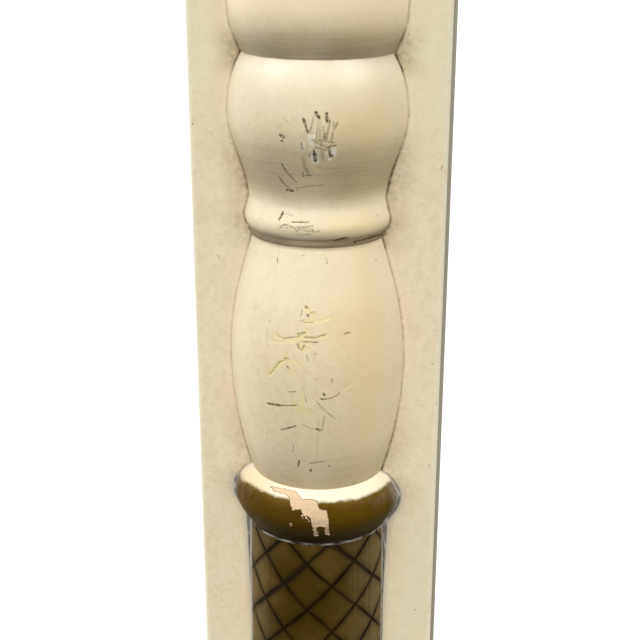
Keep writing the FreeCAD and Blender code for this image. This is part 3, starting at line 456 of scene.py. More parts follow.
class Recipe:
    """A node tree being filled: each call adds a node and joins what it is given."""

    def __init__(self, tree):
        self.tree = tree
        self.count = 0
        tree.nodes.clear()

    def join(self, socket, value):
        """Sets a socket to a plain value, or links it to a signal or another socket."""
        value = getattr(value, "socket", value)
        if isinstance(value, bpy.types.NodeSocket):
            self.tree.links.new(value, socket)
        elif socket.type == "RGBA":
            socket.default_value = (*value[:3], 1.0)
        else:
            socket.default_value = value

    def node(self, kind, inputs=None, **settings):
        """A new node with its settings made and its inputs joined."""
        made = self.tree.nodes.new(kind)
        made.location = (self.count % 10 * 200, -(self.count // 10) * 280)
        self.count += 1
        for setting, value in settings.items():
            setattr(made, setting, value)
        for place, value in (inputs or {}).items():
            self.join(made.inputs[place], value)
        return made

    def signals(self, sockets):
        """Sockets as signals, by name."""
        return {socket.name: Signal(self, socket) for socket in sockets}

    def results(self, kind, inputs=None, **settings):
        """What a new node gives, by name."""
        return self.signals(self.node(kind, inputs, **settings).outputs)

    def math(self, operation, *values):
        """The result of a Math node."""
        return self.results(
            "ShaderNodeMath", dict(enumerate(values)), operation=operation)["Value"]

    def vector(self, operation, *values):
        """The vector that a Vector Math node gives."""
        return self.results(
            "ShaderNodeVectorMath", dict(enumerate(values)), operation=operation)["Vector"]

    def measure(self, operation, *values):
        """The number that a Vector Math node gives, such as a length or dot product."""
        return self.results(
            "ShaderNodeVectorMath", dict(enumerate(values)), operation=operation)["Value"]

    def whole(self, x=0.0, y=0.0, z=0.0):
        """A vector from three coordinates."""
        return self.results("ShaderNodeCombineXYZ", {0: x, 1: y, 2: z})["Vector"]

    def use(self, group, **inputs):
        """What a shared group gives, by name."""
        made = self.node("ShaderNodeGroup", node_tree=bpy.data.node_groups[group])
        for place, value in inputs.items():
            self.join(made.inputs[place.replace("_", " ")], value)
        return self.signals(made.outputs)

    def place(self):
        """The surface's place in the frame."""
        return self.results("ShaderNodeTexCoord")["Object"]

    def turning_place(self):
        """Distance round from the front and along from the centre of a turning, in mm."""
        return self.results("ShaderNodeUVMap", uv_map=TURNING_MAP)["UV"].parts()[:2]


# What a group gives is a number, apart from these
GIVEN_KINDS = {"Colour": "NodeSocketColor", "State": "NodeSocketVector"}


def socket_kind(default):
    """The kind of socket that a default value stands for."""
    if default is None:
        return "NodeSocketVector"
    return "NodeSocketFloat" if isinstance(default, float) else "NodeSocketColor"


class Group(Recipe):
    """A node group that takes vectors (None), numbers and colours (three numbers)."""

    def __init__(self, name, takes, *gives):
        super().__init__(bpy.data.node_groups.new(name, "ShaderNodeTree"))
        for label, default in takes.items():
            socket = self.tree.interface.new_socket(
                name=label, in_out="INPUT", socket_type=socket_kind(default))
            if isinstance(default, float):
                socket.default_value = default
            elif default:
                socket.default_value = (*default, 1.0)
        for label in gives:
            self.tree.interface.new_socket(
                name=label, in_out="OUTPUT",
                socket_type=GIVEN_KINDS.get(label, "NodeSocketFloat"))
        self.given = self.results("NodeGroupInput")
        self.result = self.node("NodeGroupOutput").inputs

    def give(self, **outputs):
        """Joins what the group gives."""
        for label, value in outputs.items():
            self.join(self.result[label], value)


def group_paint_film():
    """Brushed eggshell paint: mottling, fine grain and a soft orange-peel height."""
    recipe = Group(
        "Paint film",
        {"Place": None, "Colour": (0.7, 0.6, 0.4), "Shade": (0.5, 0.4, 0.3), "Amount": 1.0},
        "Colour", "Roughness", "Height")
    given = recipe.given
    place = given["Place"]
    broad = place.noise(22.0, 3.0)
    patch = place.noise(140.0, 4.0, 0.6)
    mottle = place.noise(430.0, 3.0, 0.6)
    grain = place.noise(1500.0, 3.0, 0.7)
    shade = (broad.eased(0.38, 0.72) * 0.16 + patch.eased(0.45, 0.78) * 0.14
             + mottle.eased(0.42, 0.75) * 0.22) * given["Amount"]
    grit = (grain.eased(0.4, 0.72) + mottle.eased(0.4, 0.75)) * 0.5
    recipe.give(
        Colour=grit.mix(
            shade.mix(given["Colour"], given["Shade"]), (0.84, 0.83, 0.8), "MULTIPLY"),
        Roughness=patch.spread(0.3, 0.7, 0.36, 0.48), Height=patch * 0.5 + grain)


def group_specks():
    """Fine specks scattered over a surface."""
    recipe = Group("Specks", {"Place": None, "Size": 0.002, "Amount": 0.3}, "Mask")
    given = recipe.given
    scale = 1.0 / given["Size"]
    cells = recipe.results("ShaderNodeTexVoronoi", {"Vector": given["Place"], "Scale": scale})
    chance, spread = cells["Color"].parts()[:2]
    reach = spread.spread(0.0, 1.0, 0.05, 0.28)
    dot = cells["Distance"].eased(reach, reach * 0.55)
    present = recipe.math("LESS_THAN", chance, given["Amount"])
    recipe.give(Mask=dot * present)


# How far a mark's soft rim reaches past its width
STROKE_SOFT_MM = 0.13


def group_stroke():
    """Adds one straight mark to a state, whose x and y are the point and z the marks so far."""
    recipe = Group(
        "Stroke", {"State": None, "Start": None, "End": None, "Width": 0.5, "Strength": 1.0},
        "State")
    given = recipe.given
    run = recipe.vector("SUBTRACT", given["End"], given["Start"])
    reach = recipe.vector("SUBTRACT", given["State"], given["Start"])
    share = (recipe.measure("DOT_PRODUCT", reach, run)
             / recipe.measure("DOT_PRODUCT", run, run)).clamped()
    aside = recipe.vector("SUBTRACT", reach, run.scaled(share))
    away = recipe.measure("LENGTH", recipe.vector("MULTIPLY", aside, (1.0, 1.0, 0.0)))
    half = given["Width"] * 0.5
    mark = away.eased(half + STROKE_SOFT_MM, half * 0.4) * given["Strength"]
    around, along, marks = given["State"].parts()
    recipe.give(State=recipe.whole(around, along, marks | mark))


def group_turning_lines():
    """Fine rings left by the lathe: they change quickly along a turning, hardly round it."""
    recipe = Group("Turning lines", {"Around": 0.0, "Along": 0.0}, "Shade", "Height")
    given = recipe.given
    stretched = recipe.whole(given["Around"] * 0.025, given["Along"])
    fine = stretched.noise(1.5, 4.0, 0.65)
    broad = stretched.noise(0.35, 2.0)
    shade = fine.eased(0.42, 0.75) * broad.eased(0.3, 0.7)
    recipe.give(Shade=shade, Height=fine)


def group_worn_arris():
    """Ragged wear along a board's eased edge; its mask also places a painted highlight on the
    edge.
    """
    recipe = Group(
        "Worn arris",
        {"Place": None, "Across": 0.0, "Edge": 0.0, "Front": 0.0, "Reach": 0.0012},
        "Mask", "Chips")
    given = recipe.given
    aside = given["Across"] - given["Edge"]
    away = recipe.measure("LENGTH", recipe.whole(aside, given["Front"]))
    ragged = given["Place"].noise(420.0, 4.0, 0.65)
    rare = given["Place"].noise(70.0, 3.0, 0.6)
    reach = given["Reach"] * ragged.spread(0.2, 0.8, 0.5, 1.4)
    recipe.give(Mask=away.eased(reach, reach * 0.4))
    chip_reach = given["Reach"] * ragged.spread(0.45, 0.8, 0.4, 2.2)
    chip = away.eased(chip_reach, chip_reach * 0.7)
    recipe.give(Chips=chip * rare.eased(0.6, 0.66))


# How far apart the diagonals lie, as a share of a diamond's width
DIAMOND_SPACING = 0.69


def group_diamond_lines():
    """Hand-painted diagonal lines that cross into diamonds."""
    recipe = Group(
        "Diamond lines",
        {"Around": 0.0, "Along": 0.0, "Wide": 17.0, "Tall": 16.0, "Line": 1.3, "Waver": 1.0},
        "Lines", "Soft")
    given = recipe.given
    point = recipe.whole(given["Around"], given["Along"])
    sway = recipe.results(
        "ShaderNodeTexNoise", {"Vector": point, "Scale": 0.05, "Detail": 1.0})["Color"]
    sway_x, sway_y = recipe.vector("SUBTRACT", sway, (0.5, 0.5, 0.5)).scaled(
        given["Waver"]).parts()[:2]
    across = (given["Around"] + sway_x) / given["Wide"]
    up = (given["Along"] + sway_y) / given["Tall"]
    lines, soft = [], []
    for index, run in enumerate((up + across, up - across)):
        away = abs(recipe.math("FRACT", run + 0.5) - 0.5) * (given["Wide"] * DIAMOND_SPACING)
        load = recipe.vector("ADD", point, (37.0 * index, 11.0, 3.0)).noise(0.11, 2.0)
        half = given["Line"] * load.spread(0.3, 0.7, 0.36, 0.66)
        lines.append(away.eased(half * 1.45, half * 0.45) * load.spread(0.25, 0.6, 0.66))
        soft.append(away.eased(half * 5.5, half))
    recipe.give(Lines=lines[0] | lines[1], Soft=soft[0] | soft[1])


def group_wood_grain():
    """Long wood grain with darker late wood and pores."""
    recipe = Group(
        "Wood grain",
        {"Place": None, "Pale": (0.6, 0.42, 0.24), "Dark": (0.36, 0.22, 0.11), "Scale": 60.0},
        "Colour", "Height")
    given = recipe.given
    bent = given["Place"].noise(14.0, 2.0)
    place = recipe.vector("ADD", given["Place"], recipe.whole(bent, bent, bent).scaled(0.02))
    rings = recipe.math("FRACT", place.noise(given["Scale"], 3.0, 0.6) * 6.0)
    late = rings.eased(0.35, 0.95) * 0.52
    pores = given["Place"].noise(given["Scale"] * 22.0, 2.0)
    amount = (late + pores.eased(0.55, 0.8) * 0.3).clamped()
    recipe.give(Colour=amount.mix(given["Pale"], given["Dark"]), Height=1.0 - amount)


# The curve of a column's outline: its length from the centre, and the half widths it spans
OUTLINE_REACH_MM = SHAFT_START_MM + 6.0
OUTLINE_RANGE_MM = (15.0, 30.0)


def group_column_distance():
    """How far a point on a board is outside the outline of the column that lies on it."""
    recipe = Group("Column distance", {"Across": 0.0, "Along": 0.0, "End": 0.4}, "Distance")
    given = recipe.given
    along = abs(given["Along"])
    curve = recipe.node("ShaderNodeFloatCurve", {"Value": along / (OUTLINE_REACH_MM * MM)})
    points = curve.mapping.curves[0].points
    lowest, highest = OUTLINE_RANGE_MM
    outline = [row for row in half_outline_mm() if row[0] <= OUTLINE_REACH_MM]
    outline += [(OUTLINE_REACH_MM, SHAFT_END_MM)]
    rows = [
        (at / OUTLINE_REACH_MM, (half_width_mm(radius) - lowest) / (highest - lowest))
        for at, radius in outline]
    points[0].location = rows[0]
    points[-1].location = rows[-1]
    for row in rows[1:-1]:
        points.new(*row)
    for point in points:
        point.handle_type = "VECTOR"
    curve.mapping.update()
    half = recipe.signals(curve.outputs)["Value"].spread(0.0, 1.0, lowest * MM, highest * MM)
    ring = recipe.math("GREATER_THAN", along, given["End"] - END_RING_LENGTH_MM * MM)
    ring_extra = (half_width_mm(END_RING_RADIUS_MM) - half_width_mm(SHAFT_END_MM)) * MM
    half = recipe.math("MULTIPLY_ADD", ring, ring_extra, half)
    recipe.give(Distance=abs(given["Across"]) - half)


def group_oval():
    """An oval round a point: how far outside it a place is, and the angle there."""
    recipe = Group(
        "Oval", {"Point": None, "Centre": None, "Wide": 0.05, "Tall": 0.03},
        "Outside", "Angle", "Share")
    given = recipe.given
    x, y = recipe.vector("SUBTRACT", given["Point"], given["Centre"]).parts()[:2]
    across = x / given["Wide"]
    up = y / given["Tall"]
    share = recipe.measure("LENGTH", recipe.whole(across, up))
    outside = (share - 1.0) * given["Tall"]
    recipe.give(Outside=outside, Share=share, Angle=recipe.math("ARCTAN2", up, across))


# Outlines of the turnings


def risen(base, top, shares, start, length):
    """Outline points whose radius rises from base to top by the given shares, in mm."""
    return [(start + at * length, base + rise * (top - base)) for at, rise in shares]


def half_width_mm(radius):
    """Half the width of a turning where it meets its board."""
    return math.sqrt(radius ** 2 - COLUMN_SINK_MM ** 2)


def bulb_run_mm():
    """The bulb in the middle of a column."""
    rise = risen(BULB_END_RADIUS_MM, BULB_RADIUS_MM, BULB_SHARES,
                 -BULB_HALF_MM, 2 * BULB_HALF_MM)
    fall = [(-at, radius) for at, radius in reversed(rise[:-1])]
    return ([(-BULB_HALF_MM, BULB_END_RADIUS_MM)] + rise + fall
            + [(BULB_HALF_MM, BULB_END_RADIUS_MM)])


def swelling(start, length, radii, rise, fall):
    """A run from its first radius out to its largest and in to its last one, in mm."""
    first, largest, last = radii
    return ([(start, first)] + risen(first, largest, rise, start, length)
            + risen(last, largest, fall, start, length) + [(start + length, last)])


def outer_runs_mm():
    """Vase, neck bead, fillet and barrel, from the bulb outwards."""
    vase = swelling(
        BULB_HALF_MM, VASE_LENGTH_MM, (BULB_END_RADIUS_MM, VASE_RADIUS_MM, NECK_RADIUS_MM),
        VASE_RISE_SHARES, VASE_FALL_SHARES)
    neck = swelling(
        NECK_START_MM, NECK_BEAD_LENGTH_MM,
        (NECK_RADIUS_MM, NECK_BEAD_RADIUS_MM, NECK_BEAD_FOOT_MM),
        NECK_RISE_SHARES, NECK_FALL_SHARES)
    fillet = [(FILLET_START_MM, FILLET_RADIUS_MM), (BARREL_START_MM, FILLET_RADIUS_MM)]
    barrel = swelling(
        BARREL_START_MM, BARREL_LENGTH_MM, (BARREL_TOP_MM, BARREL_RADIUS_MM, BARREL_FOOT_MM),
        BARREL_RISE_SHARES, BARREL_FALL_SHARES)
    return [vase + neck[1:], fillet, barrel]


def collar_run_mm():
    """The cushion collar between a barrel and a shaft."""
    return swelling(
        COLLAR_START_MM, COLLAR_LENGTH_MM, (BARREL_FOOT_MM, COLLAR_RADIUS_MM, COLLAR_FOOT_MM),
        COLLAR_RISE_SHARES, COLLAR_FALL_SHARES)


def shaft_runs_mm(column_half_mm):
    """The swelling shaft, the cove and the ring against the corner block."""
    cove_end = column_half_mm - END_RING_LENGTH_MM
    shaft_end = cove_end - END_COVE_LENGTH_MM
    swell = swelling(
        SHAFT_START_MM, shaft_end - SHAFT_START_MM,
        (SHAFT_END_MM, SHAFT_RADIUS_MM, SHAFT_END_MM), SHAFT_SWELL_SHARES, [])
    cove_radius = (SHAFT_END_MM + END_RING_RADIUS_MM) / 2
    cove = [(shaft_end, SHAFT_END_MM),
            ((shaft_end + cove_end) / 2, (SHAFT_END_MM + cove_radius) / 2),
            (cove_end, END_RING_RADIUS_MM)]
    ring = [(cove_end, END_RING_RADIUS_MM), (column_half_mm, END_RING_RADIUS_MM)]
    return [swell, cove, ring]


def half_outline_mm():
    """Outline of a column from its centre to the start of its shaft."""
    rows = [row for row in bulb_run_mm() if row[0] >= 0]
    for run in outer_runs_mm() + [collar_run_mm()]:
        rows += [(at + 0.01, radius) for at, radius in run[:1]] + run[1:]
    return rows


def smooth_run(knots, spacing):
    """Points along a smooth line through the knots; a run of two knots is straight."""
    points = [Vector((at, radius, 0.0)) for at, radius in knots]
    gaps = [(b - a).length for a, b in zip(points, points[1:])]
    if len(points) == 2:
        steps = max(1, round(gaps[0] / spacing))
        return [points[0].lerp(points[1], step / steps) for step in range(steps + 1)]
    slopes = [
        (after - before) / (gap_before + gap_after)
        for before, after, gap_before, gap_after in zip(
            points, points[2:], gaps, gaps[1:])]
    first = ((points[1] - points[0]) / gaps[0] * 3 - slopes[0]) / 2
    last = ((points[-1] - points[-2]) / gaps[-1] * 3 - slopes[-1]) / 2
    slopes = [first] + slopes + [last]
    line = [points[0]]
    for index, gap in enumerate(gaps):
        start, end = points[index], points[index + 1]
        steps = max(2, round(gap / spacing)) + 1
        curve = geometry.interpolate_bezier(
            start, start + slopes[index] * gap / 3, end - slopes[index + 1] * gap / 3,
            end, steps)
        line += curve[1:]
    return line


def outline_points(runs, spacing):
    """One open line through all runs, closed to the axis at both ends."""
    line = []
    for run in runs:
        for point in smooth_run(run, spacing):
            if not line or (point - line[-1]).length > 1e-4:
                line.append(point)
    start = Vector((line[0].x, 0.0, 0.0))
    end = Vector((line[-1].x, 0.0, 0.0))
    return [start] + line + [end]


# Each column's two ends: the one that its own length points to, then the other
UPRIGHT_ENDS = ("upper", "lower")
LEVEL_ENDS = ("right", "left")
COLUMNS = {
    "left": UPRIGHT_ENDS, "right": UPRIGHT_ENDS, "top": LEVEL_ENDS, "bottom": LEVEL_ENDS}


def column_ends(part):
    """The column, node and direction of a part that every column has at both ends."""
    for column, ends in COLUMNS.items():
        for end, outwards in zip(ends, (1, -1)):
            yield column, column + part + end, outwards


def column_place(column):
    """The matrix that sets a column, made upright at the origin, on its board."""
    low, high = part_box(column + "_baluster")
    centre = (low + high) / 2
    turn = Matrix()
    if COLUMNS[column] == LEVEL_ENDS:
        turn = Matrix.Rotation(math.radians(90), 4, "Y")
    return Matrix.Translation((centre.x, high.y, centre.z)) @ turn


def turned_shape(runs, spacing=OUTLINE_SPACING_MM, steps=TURNING_STEPS):
    """A mapped turning split along its length, upright, with its flat back on y = 0, in mm."""
    shape = bmesh.new()
    verts = [shape.verts.new((-p.y, 0.0, p.x)) for p in outline_points(runs, spacing)]
    edges = [shape.edges.new(pair) for pair in zip(verts, verts[1:])]
    bmesh.ops.spin(
        shape, geom=verts + edges, cent=(0, 0, 0), axis=(0, 0, 1), dvec=(0, 0, 0),
        angle=math.pi, steps=steps, use_merge=False, use_duplicate=False)
    bmesh.ops.remove_doubles(shape, verts=shape.verts[:], dist=1e-4)
    bmesh.ops.translate(shape, verts=shape.verts[:], vec=(0, COLUMN_SINK_MM, 0))
    bmesh.ops.bisect_plane(
        shape, geom=shape.verts[:] + shape.edges[:] + shape.faces[:], dist=1e-5,
        plane_co=(0, 0, 0), plane_no=(0, 1, 0), clear_outer=True)
    rim = [edge for edge in shape.edges if edge.is_boundary]
    back = bmesh.ops.holes_fill(shape, edges=rim, sides=0)["faces"]
    bmesh.ops.triangulate(shape, faces=back)
    bmesh.ops.recalc_face_normals(shape, faces=shape.faces[:])
    map_turning(shape)
    return shape


def around_mm(place):
    """Distance round a turning from its front, taken at one radius all along."""
    return math.atan2(place.x, COLUMN_SINK_MM - place.y) * NOMINAL_RADIUS_MM


def map_turning(shape):
    """Gives the turning its map: distance round from the front, and along, in mm."""
    layer = shape.loops.layers.uv.new(TURNING_MAP)
    for face in shape.faces:
        face.smooth = True
        for loop in face.loops:
            place = loop.vert.co
            loop[layer].uv = (around_mm(place), place.z)
    for edge in shape.edges:
        if len(edge.link_faces) == 2 and edge.calc_face_angle() > CREASE_ANGLE:
            edge.smooth = False


def add_object(name, data):
    """A new object in the scene."""
    made = bpy.data.objects.new(name, data)
    bpy.context.scene.collection.objects.link(made)
    return made


def add_mesh(name, shape, material):
    """A new object with a mesh made from a shape, which is used up."""
    mesh = bpy.data.meshes.new(name)
    shape.to_mesh(mesh)
    shape.free()
    mesh.materials.append(material)
    return add_object(name, mesh)


def add_turning(shape, column, node, material):
    """Sets a turning made in mm on its board, as the piece that stands for a CAD node."""
    shape.transform(column_place(column) @ Matrix.Scale(MM, 4))
    piece = add_mesh("turned_" + node, shape, material)
    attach(piece, "frame")
    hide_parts(node)


# Chips in the collars


def polygon_inside_mm(point, corners):
    """How far a point lies inside a polygon, negative outside."""
    nearest = 1e9
    inside = False
    for start, end in zip(corners, corners[1:] + corners[:1]):
        a, b = Vector(start), Vector(end)
        along = b - a
        share = min(max((point - a).dot(along) / along.length_squared, 0.0), 1.0)
        nearest = min(nearest, (point - a - along * share).length)
        if (a.y > point.y) != (b.y > point.y):
            crossing = a.x + (point.y - a.y) / (b.y - a.y) * (b.x - a.x)
            if point.x < crossing:
                inside = not inside
    return nearest if inside else -nearest


def close_chips(past, around):
    """Chip depth from 0 to 1 on the photographed collar."""
    (past_low, past_high), (around_low, around_high) = CLOSE_REACH_MM
    if not (past_low < past < past_high and around_low < around < around_high):
        return 0.0
    ragged = noise.noise_vector(Vector((past, around, 1.7)) * 1.1) * CHIP_RAGGED_MM
    point = Vector((past + ragged.x, around + ragged.y))
    inside = max(polygon_inside_mm(point, corners) for corners in CLOSE_CHIPS_MM)
    depth = min(max(inside / CHIP_EDGE_MM + 0.5, 0.0), 1.0)
    flaked = max(polygon_inside_mm(point, corners) for corners in CLOSE_FLECKS_MM)
    broken = noise.noise(Vector((past, around, 4.0)) * 2.1)
    if flaked > -FLECK_EDGE_MM and broken > 0.0:
        depth = max(depth, FLECK_DEPTH)
    return depth


def scattered_chips(seed):
    """Chip depth for a collar whose gilding has flaked here and there."""
    def depth_at(past, around):
        spot = Vector((past * 0.16, around * 0.10, seed * 7.3))
        ragged = noise.noise(Vector((past, around, seed)) * 0.9) * 0.14
        amount = noise.noise(spot) + ragged
        return min(max((amount - SCATTER_START) / SCATTER_RISE, 0.0), 1.0)
    return depth_at


def chip_collar(shape, outwards, depth_at):
    """Sinks the chips into a collar and keeps their depth as an attribute."""
    layer = shape.verts.layers.float.new(CHIP_ATTRIBUTE)
    for vert in shape.verts:
        place = vert.co
        depth = 0.0
        if place.y <= -CHIP_CLEAR_MM:
            depth = depth_at(place.z * outwards - COLLAR_START_MM, around_mm(place))
        if depth > 0.0:
            vert[layer] = depth
            outward = Vector((place.x, place.y - COLUMN_SINK_MM, 0.0)).normalized()
            grit = 1.0 + 0.25 * noise.noise(place * 2.3)
            vert.co = place - outward * (CHIP_DEPTH_MM * depth * grit)


def towards(runs, outwards):
    """Runs measured outwards, set on one side of the centre in rising order."""
    if outwards > 0:
        return runs
    return [[(-at, radius) for at, radius in reversed(run)] for run in reversed(runs)]


# Materials


class Finish(Recipe):
    """A material round one Principled shader; the settings are its plain values."""

    def __init__(self, name, **settings):
        self.material = bpy.data.materials.new(name)
        self.material.use_nodes = True
        super().__init__(self.material.node_tree)
        self.shader = self.node("ShaderNodeBsdfPrincipled")
        for label, value in settings.items():
            self.shader.inputs[label.replace("_", " ")].default_value = value
        self.node("ShaderNodeOutputMaterial", {"Surface": self.shader.outputs[0]})

    def feed(self, **inputs):
        """Joins values to the shader's sockets."""
        for label, value in inputs.items():
            self.join(self.shader.inputs[label.replace("_", " ")], value)

    def bump(self, height, strength, distance):
        """Feeds a height through a Bump node into the shader's normal."""
        bump = self.node(
            "ShaderNodeBump", {"Height": height, "Strength": strength, "Distance": distance})
        self.feed(Normal=bump.outputs[0])


def drawn_marks(recipe, point, table):
    """A mask of all marks of a table, drawn one after the other over a point with z 0."""
    state = point
    for width, strength, places in table:
        for start, end in zip(places, places[1:]):
            state = recipe.use(
                "Stroke", State=state, Start=(start[1], -start[0], 0.0),
                End=(end[1], -end[0], 0.0), Width=width, Strength=strength)["State"]
    return state.parts()[2]


# Rows along a column for the layers below, such as toning, painted shade and painted highlights:
# mm from its centre, reach in mm, amount
# Toning in the creases, darkened further there as painted shade
CREASE_ROWS = (
    (BULB_HALF_MM, 5.0, 0.75), (NECK_START_MM - 6.0, 6.0, 0.4),
    (FILLET_START_MM + 1.0, 2.6, 0.9), (COLLAR_START_MM, 7.0, 0.6),
)
# Painted shade under the neck bead and at its fillet
BEAD_SHADE_ROWS = (
    (FILLET_START_MM - 0.45, 0.7, 0.55), (FILLET_START_MM + 1.0, 1.6, 0.6),
    (BARREL_START_MM - 0.35, 0.65, 0.75),
)
# Where the painted shade and toning beside a column are deepest, on its board
BOARD_ROWS = (
    (BULB_HALF_MM, 9.0, 0.85), (NECK_START_MM - 5.0, 18.0, 0.55),
    (FILLET_START_MM + 1.0, 8.0, 0.5), (COLLAR_START_MM - 3.0, 26.0, 0.4),
)
# Painted shade along the column
SHADED_ROWS = (
    (BULB_HALF_MM - 2.0, 12.0, 0.5), (NECK_START_MM - 10.0, 14.0, 0.38),
    (COLLAR_START_MM, 24.0, 0.34),
)
SUNNED_ROWS = (
    (BULB_HALF_MM + 12.0, 14.0, 0.45), (NECK_START_MM + 4.5, 4.5, 0.3),
    (BARREL_START_MM + 18.0, 18.0, 0.26),
)
# Painted light and shade on the film, one over the other: a duller tone on the upward slopes, then
# painted highlights; the colour, then its rows
LIGHT_AND_SHADE_TONES = (
    ((0.66, 0.605, 0.475),
     ((BULB_HALF_MM + 9.0, 12.0, 0.5), (BARREL_START_MM + 9.0, 19.0, 0.32))),
    ((0.80, 0.745, 0.62), ((NECK_START_MM + 1.5, 7.0, 0.28),)),
    ((0.74, 0.71, 0.63), ((BULB_HALF_MM + 2.2, 6.0, 0.4),)),
    ((0.87, 0.74, 0.50), ((0.0, 6.5, 0.85),)),
)
# Painted shade under the swellings: mm from the centre where it starts, is full, ends and fades
# by, then the amount
UNDERSIDES_MM = (
    (5.0, 13.5, BULB_HALF_MM + 0.2, 0.8, 0.52), (33.5, 46.0, NECK_START_MM + 0.5, 6.5, 0.38),
    (63.2, 66.0, BARREL_START_MM + 0.3, 0.4, 0.75), (127.0, 141.0, COLLAR_START_MM, 0.8, 0.2),
)


def creases(along_mm, rows=CREASE_ROWS):
    """How much of a layer, such as toning or painted shade, lies at a place along a column."""
    total = 0.0
    for at, reach, amount in rows:
        total = total + abs(along_mm - at).eased(reach, 0.0, 0.0, amount)
    return total


def undersides(along_mm):
    """How much painted shade lies under the swellings of a column."""
    total = 0.0
    for start, full, end, fade, amount in UNDERSIDES_MM:
        grown = along_mm.eased(start, full, 0.0, amount)
        total = total + grown * along_mm.eased(end, end - fade)
    return total


def scratched(recipe, place, point, colour):
    """Draws the photographed marks: the colour, the dark ones' mask and the dents."""
    shake = recipe.results(
        "ShaderNodeTexNoise",
        {"Vector": place, "Scale": 520.0, "Detail": 4.0, "Roughness": 0.65})["Color"]
    shake = recipe.vector("SUBTRACT", shake, (0.5, 0.5, 0.5)).scaled(0.8)
    point = recipe.vector("MULTIPLY", recipe.vector("ADD", point, shake), (1.0, 1.0, 0.0))
    broken = place.noise(1300.0, 4.0, 0.75).spread(0.38, 0.58, 0.3)
    yellow = drawn_marks(recipe, point, YELLOW_MARKS_MM) * 1.3
    dark = (drawn_marks(recipe, point, DARK_MARKS_MM) * broken * 1.3).clamped()
    pale = drawn_marks(recipe, point, PALE_MARKS_MM)
    colour = (yellow * broken).clamped().mix(colour, (0.74, 0.64, 0.3))
    colour = (pale * 1.2 * broken).clamped().mix(colour, (0.85, 0.82, 0.71))
    colour = dark.mix(colour, (0.056, 0.036, 0.008))
    return colour, dark, dark * 2.2 + yellow


def make_turned_paint(name, marked):
    """Cream paint on the turned middles; marked has the photographed scratches."""
    tints = colours()
    recipe = Finish(name, Specular_IOR_Level=0.42, Coat_Weight=0.26, Coat_Roughness=0.42)
    place = recipe.place()
    around, along = recipe.turning_place()
    film = recipe.use(
        "Paint film", Place=place, Colour=tints.cream, Shade=tints.warm_cream, Amount=1.0)
    cloud = place.noise(46.0, 3.0)
    sunned = around.eased(0.0, 22.0) * around.eased(28.0, 19.0, 0.15)
    yellowed = sunned * cloud.spread(0.3, 0.7, 0.35, 0.95)
    colour = yellowed.mix(film["Colour"], tints.warm_cream)
    blush = place.noise(95.0, 4.0).eased(0.42, 0.75) * sunned.spread(0.0, 1.0, 0.14, 0.35)
    blotched = place.noise(560.0, 3.0, 0.7).eased(0.44, 0.66) * sunned.spread(0.0, 1.0, 0.05, 0.35)
    colour = (blush | blotched).mix(colour, (0.745, 0.595, 0.335))
    turned = around.eased(-15.0, -30.0, 0.0, 0.35)
    colour = turned.mix(colour, (0.6, 0.52, 0.37))
    out = abs(along)
    patch = creases(out, SUNNED_ROWS) * abs(around - 15.0).eased(15.0, 4.0)
    colour = patch.mix(colour, (0.73, 0.56, 0.22))
    uneven_noise = place.noise(210.0, 4.0)
    # Toning wiped into the creases, which also stands for painted shade there
    toning_and_shade = creases(out) * uneven_noise.spread(0.25, 0.75, 0.3, 0.8)
    colour = toning_and_shade.mix(colour, tints.toning)
    # A dark line in the crease between bulb and vase: painted shade
    crease_shade_line = abs(out - BULB_HALF_MM).eased(0.75, 0.15) * uneven_noise.spread(0.35, 0.6, 0.1, 0.7)
    colour = crease_shade_line.mix(colour, (0.22, 0.16, 0.085))
    # Painted shade along the column, by the shaded rows
    colour = (creases(out, SHADED_ROWS) * 0.6).mix(colour, (0.5, 0.4, 0.235))
    # Painted shade that dulls the upward slopes, then painted highlights on them
    for tone, rows in LIGHT_AND_SHADE_TONES:
        colour = creases(out, rows).mix(colour, tone)
    flank = abs(around).eased(0.5, 12.5, 0.28)
    underside_shade = undersides(out)
    # Painted shade under the swellings, deeper towards the flanks
    colour = (underside_shade * flank).mix(colour, (0.125, 0.085, 0.034))
    # Painted shade under the neck bead
    under = creases(out, BEAD_SHADE_ROWS) * uneven_noise.spread(0.3, 0.65, 0.7)
    colour = under.mix(colour, (0.13, 0.095, 0.05))
    rings = recipe.use("Turning lines", Around=around, Along=along)
    # Lathe rings, drawn stronger in the painted shade under the swellings
    ring_tone = rings["Shade"] * recipe.math("MULTIPLY_ADD", underside_shade, 1.8, 0.07).clamped()
    colour = ring_tone.mix(colour, tints.toning)
    specks = recipe.use("Specks", Place=place, Size=0.0022, Amount=0.03)["Mask"]
    colour = (specks * 0.5).mix(colour, tints.toning)
    height = film["Height"] * 0.12 + rings["Height"] * 0.35
    roughness = film["Roughness"]
    if marked:
        colour, dark, dents = scratched(recipe, place, recipe.whole(around, along), colour)
        recipe.feed(Coat_Weight=dark.eased(0.0, 0.5, 0.26, 0.0))
        height = height - dents
        roughness = roughness + dark * 0.5
    recipe.feed(Base_Color=colour, Roughness=roughness)
    recipe.bump(height, 0.5, 0.00012)
    return recipe.material


